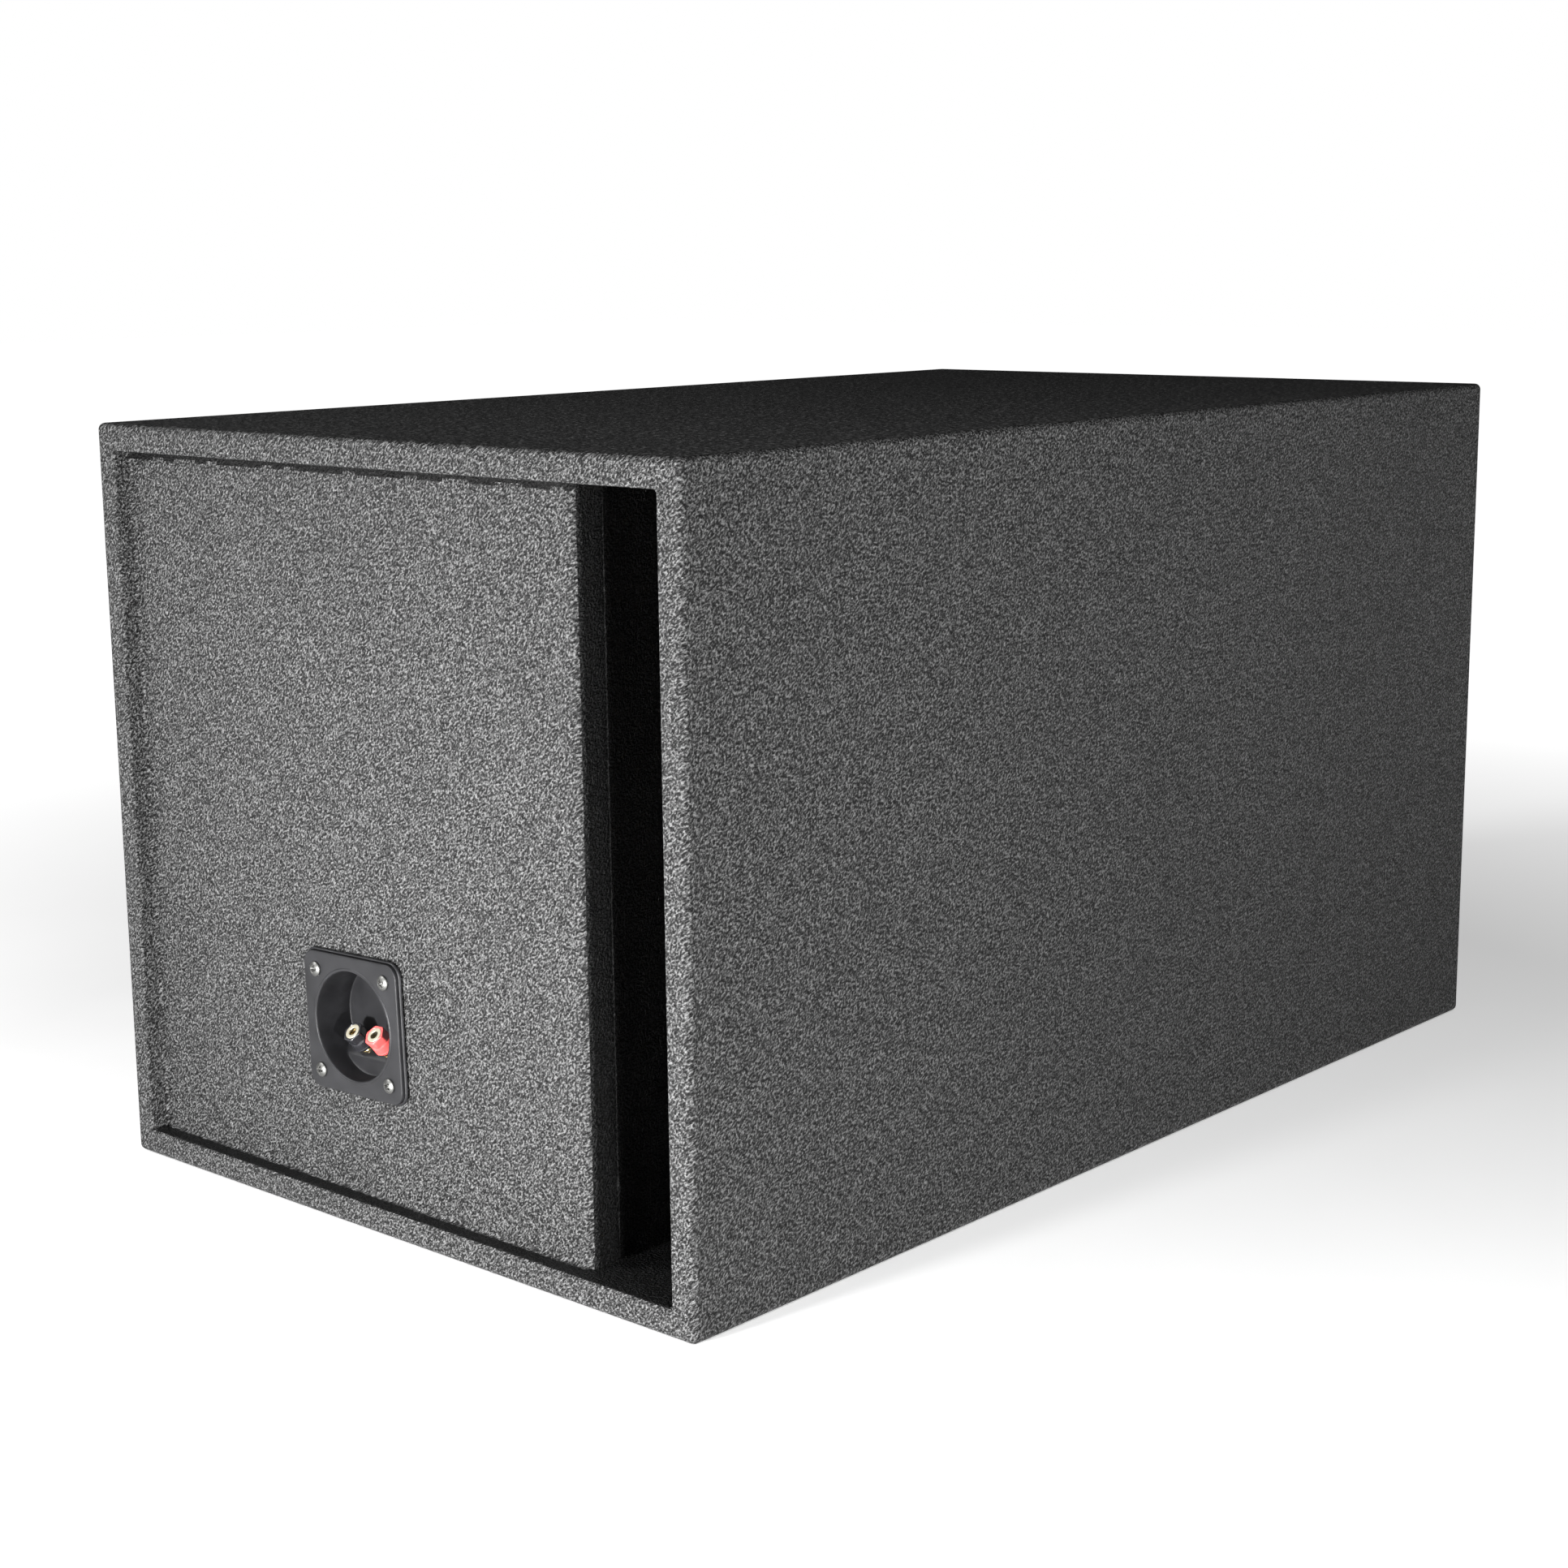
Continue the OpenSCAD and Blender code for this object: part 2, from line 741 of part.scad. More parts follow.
// Half-round roll with a glued lip on each side
module surround() {
  color("#151517") at_driver() rotate_extrude() {
    translate([roll_r, flange_z]) intersection() {
      difference() {
        circle(roll_out);
        circle(roll_out - roll_t);
      }
      translate([-20, 0]) square([40, 20]);
    }
    translate([lip_r + 1, flange_z]) square([roll_r - roll_out + roll_t - lip_r - 1, roll_t]);
    translate([roll_r + roll_out - roll_t, flange_z]) square([trim_out - roll_r - roll_out + roll_t, roll_t]);
  }
}

module trim_ring() {
  color("#1d1d1f") at_driver() translate([0, 0, flange_z + roll_t]) ring(trim_out, trim_in, trim_h);
}

// Fibre block on the pot's side
module driver_terminal_block() {
  color("#4a3a2a") at_driver() difference() {
    translate([pot_r - 4, -9, block_z - 12]) cube([10, 18, 24]);
    translate([0, 0, block_z - 20]) cylinder(r = pot_r, h = 40, $fn = 360);
  }
}

module driver_terminal_tags() {
  color("#cfcabb") at_driver() for (side = [-1, 1])
    translate([pot_r + 6, -lug_w / 2, block_z + side * tag_step - lug_t / 2])
      cube([tag_end - pot_r - 7, lug_w, lug_t]);
}

// Braided leads from the basket's arm to the back of the cone
module tinsel_leads() {
  color("#b07a4a") at_driver() for (y = [-8, 8])
    tube([
      [112.5, y, -64], [109, y, -61], [100, y, -62.5], [90, y, -65], [82, y, -62.5],
      [76, y, -56], [73, y, cone_z(73) - 3.5]
    ], 1.1, [0, 1, 0], 4);
}

module driver_bolts() {
  color("#2c2d30") at_driver() at_bolts() {
    translate([0, 0, -22]) cylinder(r = bolt_r - thread_gap, h = 22 + flange_z);
    translate([0, 0, flange_z]) difference() {
      cylinder(r = 4.75, h = 3);
      translate([0, 0, 1]) cylinder(r = 2, h = 3, $fn = 6);
    }
  }
}

module tee_nuts() {
  color("#b9b9b4") at_driver() at_bolts() {
    translate([0, 0, -wall]) ring(3.25, bolt_r, 8.5);
    translate([0, 0, -wall - 1.6]) ring(9.5, bolt_r, 1.6);
  }
}

top_panel();
bottom_panel();
back_panel();
front_panel();
port_end_panel();
closed_end_panel();
port_wall();
port_side_brace();
closed_side_brace();
port_end_top_batten();
port_end_bottom_batten();
port_end_front_batten();
closed_end_top_batten();
closed_end_bottom_batten();
closed_end_front_batten();
closed_end_back_batten();
terminal_gasket();
terminal_cup();
terminal_screws();
black_post();
red_post();
black_cap_insert();
red_cap_insert();
black_cap();
red_cap();
post_washers();
post_nuts();
post_lugs();
black_wire();
red_wire();
wire_connectors();
cable_clips();
driver_gasket();
driver_basket();
top_plate();
magnet();
pole_yoke();
motor_bolts();
coil_former();
voice_coil();
spider();
cone();
dust_cap();
surround();
trim_ring();
driver_terminal_block();
driver_terminal_tags();
tinsel_leads();
driver_bolts();
tee_nuts();
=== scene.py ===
"""The looks of a vented subwoofer cabinet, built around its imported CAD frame.

Shapes are worked out in millimetres in the row frame (+X out of the port end, -Y out of the
driver face, +Z up) and become metres when a piece is made.
"""
import json
from math import acos, asin, atan2, cos, degrees, exp, hypot, pi, radians, sin, sqrt, tan

import bmesh
import bpy
import numpy as np
from mathutils import Matrix, Vector, noise


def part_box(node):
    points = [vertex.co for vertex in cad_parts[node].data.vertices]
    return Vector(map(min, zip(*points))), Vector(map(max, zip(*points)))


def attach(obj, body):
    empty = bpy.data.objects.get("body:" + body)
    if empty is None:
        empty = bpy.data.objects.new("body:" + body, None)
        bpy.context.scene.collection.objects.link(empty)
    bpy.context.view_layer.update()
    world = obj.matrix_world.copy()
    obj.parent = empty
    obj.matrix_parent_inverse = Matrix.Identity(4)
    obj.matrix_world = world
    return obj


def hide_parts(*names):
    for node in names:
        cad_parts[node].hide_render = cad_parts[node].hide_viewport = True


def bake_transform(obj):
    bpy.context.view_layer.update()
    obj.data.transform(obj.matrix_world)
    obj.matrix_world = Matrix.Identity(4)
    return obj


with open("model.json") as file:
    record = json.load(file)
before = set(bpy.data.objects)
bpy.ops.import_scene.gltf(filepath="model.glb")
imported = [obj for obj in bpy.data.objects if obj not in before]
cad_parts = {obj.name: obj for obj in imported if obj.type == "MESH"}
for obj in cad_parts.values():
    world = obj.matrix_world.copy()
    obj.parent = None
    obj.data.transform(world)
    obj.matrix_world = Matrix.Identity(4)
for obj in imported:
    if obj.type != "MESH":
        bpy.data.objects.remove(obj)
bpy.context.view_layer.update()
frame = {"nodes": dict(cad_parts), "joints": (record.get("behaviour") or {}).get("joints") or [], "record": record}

for imported in bpy.data.materials:
    imported.name = "cad_" + imported.name

MM = 0.001
SMOOTH_UNDER = radians(40)


# ---- Places, all from the frame ----

def box(node):
    low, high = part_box(node)
    return np.array(low) / MM, np.array(high) / MM


def joint(name):
    return next(j for j in frame["joints"] if j["name"] == name)


def place(x_axis, y_axis, z_axis, origin):
    """Matrix from a part's own frame to the row frame, in millimetres."""
    m = np.eye(4)
    for column, axis in enumerate((x_axis, y_axis, z_axis, origin)):
        m[:3, column] = axis
    return m


shell_low = box("bottom_panel")[0]
shell_high = box("top_panel")[1]
wall = shell_high[2] - box("top_panel")[0][2]
end_low, end_high = box("port_end_panel")
port_low, port_high = box("port_wall")
half_length = shell_high[0]
half_depth = shell_high[1]
inside_low, inside_high = end_low[2], end_high[2]

lift_axis = np.array(joint("black_cap_lift")["axis"])
cup_roll = atan2(-lift_axis[1], lift_axis[2])
cup_centre = (box("terminal_cup")[0] + box("terminal_cup")[1]) / 2
cup_across = np.array((0, cos(cup_roll), sin(cup_roll)))
cup_up = np.array((0, -sin(cup_roll), cos(cup_roll)))
CUP = place(cup_across, cup_up, (1, 0, 0), (end_high[0], cup_centre[1], cup_centre[2]))
POSTS = {
    tint: place(cup_across, np.cross(lift_axis, cup_across), lift_axis,
                np.array(joint(tint + "_cap_turn")["pos_m"]) / MM)
    for tint in ("black", "red")
}
basket_low, basket_high = box("driver_basket")
driver_height = (basket_low[2] + basket_high[2]) / 2
DRIVER = place((1, 0, 0), (0, 0, 1), (0, -1, 0), (0, shell_low[1], driver_height))
ROW = np.eye(4)


# ---- Mesh tools ----

def around(count):
    """The angles of one full turn."""
    return np.linspace(0, 2 * pi, count, endpoint=False)


class Shape:
    """Points in millimetres and faces, collected ring by ring."""

    def __init__(self, matrix=ROW):
        self.matrix = matrix
        self.points = []
        self.faces = []

    def add(self, points):
        first = len(self.points)
        for p in points:
            self.points.append(self.matrix[:3, :3] @ np.array(p, float) + self.matrix[:3, 3])
        return list(range(first, len(self.points)))

    def ring(self, angles, radius, height, at=(0, 0)):
        """A ring round z. Its radius may go by angle, and its height by place."""
        points = []
        for t in angles:
            r = radius(t) if callable(radius) else radius
            x, y = r * cos(t), r * sin(t)
            points.append((x + at[0], y + at[1], height(x, y) if callable(height) else height))
        return self.add(points)

    def skin(self, rings, closed=True, loop=False):
        """Quads from ring to ring. closed joins each ring's ends, and loop the last ring to the first."""
        for a, b in zip(rings, rings[1:] + (rings[:1] if loop else [])):
            for i in range(len(a) - (0 if closed else 1)):
                j = (i + 1) % len(a)
                self.faces.append((a[i], a[j], b[j], b[i]))

    def stack(self, rows, count, at=(0, 0), loop=False):
        """Skinned rings round z from rows of (radius, height)."""
        rings = [self.ring(around(count), radius, height, at) for radius, height in rows]
        self.skin(rings, loop=loop)
        return rings

    def cap(self, *rings):
        for ring in rings:
            self.faces.append(tuple(ring))

    def solid(self, rings):
        """Skinned rings with a flat face at both ends."""
        self.skin(rings)
        self.cap(rings[0], rings[-1])

    def fan(self, ring, tip):
        """Closes a ring with triangles to a point."""
        middle = self.add([tip])[0]
        self.faces += [(middle, a, b) for a, b in zip(ring, ring[1:] + ring[:1])]


def rounded(corners, steps=4):
    """Closed outline from corners (a, b, fillet)."""
    out = []
    for i, (a, b, fillet) in enumerate(corners):
        p = np.array((a, b), float)
        if fillet <= 0:
            out.append(tuple(p))
            continue
        u = np.array(corners[i - 1][:2], float) - p
        v = np.array(corners[(i + 1) % len(corners)][:2], float) - p
        length_u, length_v = np.linalg.norm(u), np.linalg.norm(v)
        u, v = u / length_u, v / length_v
        half = acos(np.clip(u @ v, -0.9999, 0.9999)) / 2
        reach = min(fillet / tan(half), 0.45 * length_u, 0.45 * length_v)
        for k in range(steps + 1):
            s = k / steps
            out.append(tuple((1 - s) ** 2 * (p + u * reach) + 2 * s * (1 - s) * p + s * s * (p + v * reach)))
    return out


def turned_solid(shape, outline, count):
    """An outline that starts and ends on the axis, turned about z."""
    rings = shape.stack(outline[1:-1], count)
    shape.fan(rings[0], (0, 0, outline[0][1]))
    shape.fan(rings[-1], (0, 0, outline[-1][1]))


def tube(shape, path, radius, sides):
    """A round tube along a list of points. Its radius may go by the share of the way."""
    path = [np.array(p, float) for p in path]
    side = np.array((0.0, 0.0, 1.0))
    rings = []
    for i, centre in enumerate(path):
        along = path[min(i + 1, len(path) - 1)] - path[max(i - 1, 0)]
        along /= np.linalg.norm(along)
        side = side - along * (side @ along)
        if np.linalg.norm(side) < 0.1:
            side = np.cross(along, (1.0, 0.3, 0.0))
        side /= np.linalg.norm(side)
        other = np.cross(along, side)
        r = radius(i / (len(path) - 1)) if callable(radius) else radius
        rings.append(shape.add([centre + r * (cos(t) * side + sin(t) * other)
                                for t in around(sides)]))
    shape.solid(rings)


def smooth_path(points, steps):
    """Curve through given points."""
    p = [np.array(q, float) for q in points]
    out = []
    for i in range(len(p) - 1):
        a, b, c, d = p[max(i - 1, 0)], p[i], p[i + 1], p[min(i + 2, len(p) - 1)]
        for k in range(steps):
            t = k / steps
            out.append(0.5 * (2 * b + t * (c - a) + t * t * (2 * a - 5 * b + 4 * c - d)
                              + t ** 3 * (3 * b - a - 3 * c + d)))
    return out + [p[-1]]


def wobble(a, seed):
    return noise.noise(Vector((a, seed * 7.3, 0.4)))


def ease(value, low, high):
    """Smooth step from 0 at low to 1 at high."""
    t = min(max((value - low) / (high - low), 0.0), 1.0)
    return t * t * (3 - 2 * t)


def adjust(thing, **settings):
    for key, value in settings.items():
        setattr(thing, key, value)
    return thing


def link_object(name, data):
    obj = bpy.data.objects.new(name, data)
    bpy.context.scene.collection.objects.link(obj)
    return obj


def even_shading(obj):
    adjust(obj.modifiers.new("even_shading", "WEIGHTED_NORMAL"), keep_sharp=True)


def tidy_mesh(mesh):
    """Merges points, turns faces outwards and marks which edges are sharp."""
    bm = bmesh.new()
    bm.from_mesh(mesh)
    bmesh.ops.remove_doubles(bm, verts=bm.verts, dist=1e-7)
    bmesh.ops.recalc_face_normals(bm, faces=bm.faces)
    for f in bm.faces:
        f.smooth = True
    for e in bm.edges:
        e.smooth = len(e.link_faces) == 2 and e.calc_face_angle(0) < SMOOTH_UNDER
    bm.to_mesh(mesh)
    bm.free()


def object_of(name, shape):
    mesh = bpy.data.meshes.new(name)
    mesh.from_pydata([tuple(p * MM) for p in shape.points], [], shape.faces)
    tidy_mesh(mesh)
    return link_object(name, mesh)


def make(name, shape, finish, body="cabinet", nodes=()):
    """Turns a shape into a piece that rides on a body, and hides the CAD nodes it stands in for."""
    obj = object_of(name, shape)
    obj.data.materials.append(MATERIALS[finish])
    even_shading(obj)
    if nodes:
        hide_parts(*nodes)
    if body:
        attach(obj, body)
    return obj


def cut(obj, shape):
    """Takes a closed shape out of an object, for good."""
    cutter = object_of("cutter", shape)
    adjust(obj.modifiers.new("cut", "BOOLEAN"), object=cutter, solver="EXACT")
    obj.modifiers.move(len(obj.modifiers) - 1, 0)
    bpy.context.view_layer.objects.active = obj
    with bpy.context.temp_override(object=obj, active_object=obj, selected_objects=[obj]):
        bpy.ops.object.modifier_apply(modifier="cut")
    bpy.data.objects.remove(cutter)
    tidy_mesh(obj.data)


# ---- Materials ----

class Nodes:
    """Small helper to write a node tree in a few lines."""

    def __init__(self, name):
        self.material = bpy.data.materials.new(name)
        self.material.use_nodes = True
        self.tree = self.material.node_tree
        self.shader = self.tree.nodes["Principled BSDF"]
        self.where = self.node("ShaderNodeTexCoord").outputs["Object"]

    def feed(self, socket, value):
        """Gives an input a value, or the output of another node."""
        if isinstance(value, bpy.types.NodeSocket):
            self.tree.links.new(value, socket)
        else:
            socket.default_value = value

    def node(self, kind, inputs=None, **settings):
        n = adjust(self.tree.nodes.new(kind), **settings)
        for key, value in (inputs or {}).items():
            self.feed(n.inputs[key], value)
        return n

    def stretched(self, scale, turn=(0, 0, 0)):
        """Coordinates turned first and scaled after, so that grain can lean."""
        source = self.where
        for name, value in (("Rotation", turn), ("Scale", scale)):
            source = self.node("ShaderNodeMapping", {name: value, "Vector": source}).outputs["Vector"]
        return source

    def noise(self, scale, detail=2.0, rough=0.5, vector=None, distortion=0.0):
        return self.node("ShaderNodeTexNoise", {
            "Vector": vector or self.where, "Scale": scale, "Detail": detail, "Roughness": rough,
            "Distortion": distortion}).outputs["Fac"]

    def distance(self):
        return self.node("ShaderNodeVectorMath", {0: self.where}, operation="LENGTH").outputs["Value"]

    def facing_up(self):
        normal = self.node("ShaderNodeNewGeometry").outputs["Normal"]
        return self.node("ShaderNodeSeparateXYZ", {0: normal}).outputs["Z"]

    def math(self, operation, a, b):
        return self.node("ShaderNodeMath", {0: a, 1: b}, operation=operation).outputs[0]

    def ramp(self, source, stops):
        n = self.node("ShaderNodeValToRGB", {"Fac": source})
        elements = n.color_ramp.elements
        while len(elements) < len(stops):
            elements.new(0.5)
        for element, (at, colour) in zip(elements, stops):
            element.position = at
            element.color = (*colour, 1) if hasattr(colour, "__len__") else (colour, colour, colour, 1)
        return n.outputs["Color"]

    def mix(self, factor, a, b):
        return self.node("ShaderNodeMix", {0: factor, 6: a, 7: b}, data_type="RGBA").outputs[2]

    def set(self, **inputs):
        """Feeds the shader, with _ for a space in an input's name."""
        for key, value in inputs.items():
            self.feed(self.shader.inputs[key.replace("_", " ")], value)
        return self.material

    def bump(self, height, distance):
        n = self.node("ShaderNodeBump", {"Height": height, "Distance": distance})
        self.set(Normal=n.outputs["Normal"])

    def rough(self, source, low, high):
        n = self.node("ShaderNodeMapRange", {"Value": source, "To Min": low, "To Max": high})
        self.set(Roughness=n.outputs["Result"])

    def finish(self, pattern, stops, rough, depth, gloss=None):
        """Colour, roughness and bump from one pattern, or the roughness from one of its own."""
        self.rough(gloss or pattern, *rough)
        self.bump(pattern, depth)
        return self.set(Base_Color=self.ramp(pattern, stops))


def shades(colour, *stops):
    """Ramp stops from (place, factor of the colour)."""
    return [(at, tuple(c * factor for c in colour)) for at, factor in stops]


def coating(name, tone):
    """Sprayed coating: black grains under 2 mm apart, painted with shade in their hollows and highlight on their
    grey peaks. Faces that point up get painted shade: darker, and speckled.
    """
    n = Nodes(name)
    leaning = n.stretched((1, 1, 0.5), turn=(0.8, 0.6, 0))
    grains = n.noise(900, detail=1.2, rough=0.55, vector=leaning)
    fine = n.noise(1700, detail=2, rough=0.6)
    height = n.math("ADD", grains, n.math("MULTIPLY", fine, 0.3))
    # Colour by grain height: painted shade, near-black, in the hollows and painted highlight, grey, on the peaks.
    painted_grain_greys = ((0.5, 0.003), (0.61, 0.025), (0.71, 0.085), (0.85, 0.22))
    painted_grain_light = n.ramp(height, [(at, grey * tone) for at, grey in painted_grain_greys])
    # Faces that point up are half mixed to near-black with sparse grey specks: painted shade on upward faces.
    specks = n.ramp(n.noise(330, detail=1.5), [(0.56, 0.0), (0.7, 0.35 * tone)])
    level = n.ramp(n.facing_up(), [(0.8, 0.0), (0.95, 0.5)])
    patches = n.math("MULTIPLY", n.noise(7, detail=3), 0.25)
    patch_tone = (0.012 * tone, 0.012 * tone, 0.0125 * tone, 1)
    n.rough(fine, 0.45, 0.62)
    n.bump(height, 0.0026)
    return n.set(Base_Color=n.mix(patches, n.mix(level, painted_grain_light, specks), patch_tone), Specular_IOR_Level=0.14)


def plain(name, colour, rough, grain=1200, bump=0.00004, metal=0.0, spread=0.18, coat=0.0, patch=60,
          shine=0.5):
    """A finish with fine grain, a slow drift of colour and uneven gloss."""
    n = Nodes(name)
    tones = shades(colour, (0.3, 1 - spread), (0.7, 1 + spread))
    n.rough(n.noise(patch * 3, detail=3), *rough)
    n.bump(n.noise(grain, detail=3), bump)
    return n.set(Base_Color=n.ramp(n.noise(patch, detail=4), tones), Metallic=metal, Coat_Weight=coat,
                 Specular_IOR_Level=shine)


def board():
    """Sawn fibreboard: fine specks and a fuzzy face."""
    n = Nodes("bare_board")
    stops = [(0.3, (0.3, 0.2, 0.115)), (0.55, (0.44, 0.32, 0.2)), (0.75, (0.55, 0.43, 0.29))]
    return n.finish(n.noise(900, detail=5, rough=0.7), stops, (0.75, 0.95), 0.0003)


def softwood():
    """Planed softwood with growth lines along the batten."""
    n = Nodes("batten_wood")
    lines = n.noise(55, detail=6, rough=0.65, vector=n.stretched((1.0, 0.12, 1.0)), distortion=1.2)
    stops = [(0.35, (0.46, 0.3, 0.15)), (0.5, (0.66, 0.48, 0.28)), (0.68, (0.74, 0.58, 0.37))]
    return n.finish(lines, stops, (0.5, 0.75), 0.0004)


def brushed(name, colour, rough, scale=(40, 40, 3)):
    """Metal with fine tool marks in one direction."""
    n = Nodes(name)
    marks = n.noise(60, detail=5, rough=0.7, vector=n.stretched(scale))
    n.finish(marks, shades(colour, (0.3, 0.8), (0.7, 1.1)), rough, 0.00002)
    return n.set(Metallic=1.0)


def woven(name, colour, pitch, bump, rough):
    """Cloth or braid: two crossing sets of threads."""
    n = Nodes(name)
    settings = {"Vector": n.where, "Scale": 1 / pitch / 3, "Distortion": 0.6}
    threads = n.math("MAXIMUM", *(n.node("ShaderNodeTexWave", settings, bands_direction=way).outputs["Fac"]
                                  for way in ("DIAGONAL", "X")))
    stops = shades(colour, (0.1, 0.45), (0.8, 1.15))
    return n.finish(threads, stops, rough, bump, gloss=n.noise(300))


def pulp():
    """Pressed paper: long fibres under a thin black coat."""
    n = Nodes("cone_paper")
    fibres = n.noise(420, detail=7, rough=0.75, distortion=1.5)
    return n.finish(fibres, [(0.3, (0.012, 0.012, 0.013)), (0.7, (0.036, 0.035, 0.036))], (0.5, 0.8), 0.00035)


MATERIALS = {m.name: m for m in (
    # The second coating is the same coating at a far lower tone: painted shade for faces in the mouth and the
    # slot.
    coating("textured_coating", 0.76), coating("slot_coating", 0.06), board(), softwood(), pulp(),
    plain("cup_plastic", (0.011, 0.011, 0.012), (0.34, 0.48), grain=2200, bump=0.00008, spread=0.4, patch=45,
          shine=0.18),
    plain("foam_rubber", (0.03, 0.03, 0.03), (0.8, 0.95), grain=900, bump=0.0003),
    brushed("zinc_steel", (0.13, 0.13, 0.125), (0.38, 0.52)),
    brushed("brass", (0.8, 0.6, 0.28), (0.2, 0.36)),
    brushed("pale_brass", (0.46, 0.43, 0.34), (0.34, 0.5)),
    plain("black_cap_plastic", (0.014, 0.014, 0.016), (0.16, 0.3), bump=0.00001, coat=0.2),
    plain("red_cap_plastic", (0.64, 0.085, 0.08), (0.26, 0.4), bump=0.00001, spread=0.1, coat=0.15),
    brushed("tinned_brass", (0.76, 0.7, 0.55), (0.25, 0.45)),
    plain("black_insulation", (0.02, 0.02, 0.021), (0.35, 0.5)),
    plain("red_insulation", (0.42, 0.025, 0.025), (0.35, 0.5)),
    plain("white_nylon", (0.76, 0.75, 0.7), (0.4, 0.55)),
    plain("black_cast_frame", (0.03, 0.03, 0.032), (0.42, 0.6), grain=1100, bump=0.00022),
    brushed("motor_steel", (0.42, 0.42, 0.43), (0.3, 0.5), scale=(3, 60, 3)),
    plain("ferrite", (0.06, 0.058, 0.056), (0.4, 0.7), grain=700, bump=0.00012),
    plain("coil_film", (0.6, 0.4, 0.12), (0.25, 0.4)),
    brushed("copper_winding", (0.62, 0.27, 0.12), (0.25, 0.4)),
    woven("spider_cloth", (0.52, 0.35, 0.13), 0.0011, 0.0003, (0.7, 0.9)),
    plain("surround_rubber", (0.018, 0.018, 0.019), (0.42, 0.6), grain=800, bump=0.00008, spread=0.3),
    plain("trim_rubber", (0.02, 0.02, 0.021), (0.6, 0.8), grain=900, bump=0.00012, spread=0.3),
    plain("fibre_board", (0.12, 0.075, 0.045), (0.5, 0.7), grain=600, bump=0.0001),
    woven("braided_copper", (0.6, 0.33, 0.17), 0.0006, 0.0002, (0.35, 0.5)),
    plain("black_steel", (0.035, 0.035, 0.038), (0.3, 0.45), metal=0.7, bump=0.00003),
)}


# ---- Camera, floor and light ----

CAMERA_AZIMUTH = 131.83
CAMERA_ELEVATION = 11.268
CAMERA_ROLL = -0.6068
CAMERA_PLACE = Vector((1.3111, 1.1189, 0.5411))
CAMERA_LENS = 61.79
SKY_LIGHT = 0.04
# Strength of the floor's painted glow next to the cabinet.
FLOOR_PAINTED_GLOW = 0.35


def add_camera():
    az, el, roll = (radians(a) for a in (CAMERA_AZIMUTH, CAMERA_ELEVATION, CAMERA_ROLL))
    back = Vector((sin(az) * cos(el), -cos(az) * cos(el), sin(el)))
    level = Vector((0, 0, 1)).cross(back).normalized()
    upright = back.cross(level)
    right = cos(roll) * level + sin(roll) * upright
    up = back.cross(right)
    data = adjust(bpy.data.cameras.new("camera"), sensor_width=36, lens=CAMERA_LENS, clip_start=0.01)
    camera = link_object("camera", data)
    camera.matrix_world = Matrix.Translation(CAMERA_PLACE) @ Matrix((right, up, back)).transposed().to_4x4()
    bpy.context.scene.camera = camera


def add_light(name, place, target, size, power):
    data = adjust(bpy.data.lights.new(name, "AREA"), shape="DISK", size=size, energy=power)
    light = link_object(name, data)
    light.visible_camera = False
    light.location = place
    light.rotation_euler = (Vector(target) - Vector(place)).to_track_quat("-Z", "Y").to_euler()


def add_floor():
    mesh = bpy.data.meshes.new("floor")
    bm = bmesh.new()
    bmesh.ops.create_grid(bm, x_segments=8, y_segments=8, size=14)
    bm.to_mesh(mesh)
    bm.free()
    floor = link_object("floor", mesh)
    floor.location.z = shell_low[2] * MM - 0.0005
    # The floor glows white: painted light, dimmer next to the cabinet and full further off, that also lights the
    # cabinet from below.
    n = Nodes("floor")
    n.rough(n.noise(20), 0.7, 0.85)
    away = n.math("MULTIPLY", n.distance(), 0.25)
    n.set(Base_Color=n.ramp(n.noise(3, detail=3), [(0.3, 0.8), (0.7, 0.84)]), Emission_Color=(1, 1, 1, 1),
          Emission_Strength=n.ramp(away, [(0.15, FLOOR_PAINTED_GLOW), (0.4, 1.0)]))
    mesh.materials.append(n.material)


def add_world():
    """Dim light from all round. The camera itself sees plain white."""
    world = bpy.data.worlds.new("studio")
    world.use_nodes = True
    tree = world.node_tree
    sky = tree.nodes["Background"]
    sky.inputs["Color"].default_value = (SKY_LIGHT, SKY_LIGHT, SKY_LIGHT, 1)
    seen = tree.nodes.new("ShaderNodeBackground")
    seen.inputs["Color"].default_value = (1, 1, 1, 1)
    rays = tree.nodes.new("ShaderNodeLightPath")
    mix = tree.nodes.new("ShaderNodeMixShader")
    tree.links.new(rays.outputs["Is Camera Ray"], mix.inputs[0])
    tree.links.new(sky.outputs[0], mix.inputs[1])
    tree.links.new(seen.outputs[0], mix.inputs[2])
    tree.links.new(mix.outputs[0], tree.nodes["World Output"].inputs["Surface"])
    bpy.context.scene.world = world


add_camera()
add_floor()
add_world()
add_light("front_low", (1.15, 0.14, 0.08), (0.38, 0.14, 0.15), 0.1, 24)
add_light("side_low", (0.7, 0.9, 0.06), (0.2, 0.23, 0.1), 0.1, 9)
add_light("side_high", (0.4, 1.1, 0.9), (0.2, 0.23, 0.2), 0.4, 9)
add_light("left_high", (1.3, -0.8, 1.0), (0.38, 0.0, 0.2), 0.4, 20)
bpy.context.scene.view_settings.view_transform = "Standard"


# ---- Carcass: four coated panels that share one skin ----

EDGE_R = 4.0
LIP_R = 1.6
CORNER_STEPS = 6
STRAIGHT_STEPS = 8
BEFORE_EDGE, AFTER_EDGE = 0.6, 0.8
SEAM_RUN = 6
PROFILE_DEPTH = 260
INNER_FILLETS = ((LIP_R, 3.2), (4, 3.2), (12, 3.0), (30, 2.4), (60, 1.4), (120, 0.8), (PROFILE_DEPTH, 0.8))


def arc(centre, radius, start, end, steps):
    return [(centre[0] + radius * cos(a), centre[1] + radius * sin(a))
            for a in np.radians(np.linspace(start, end, steps + 1))]


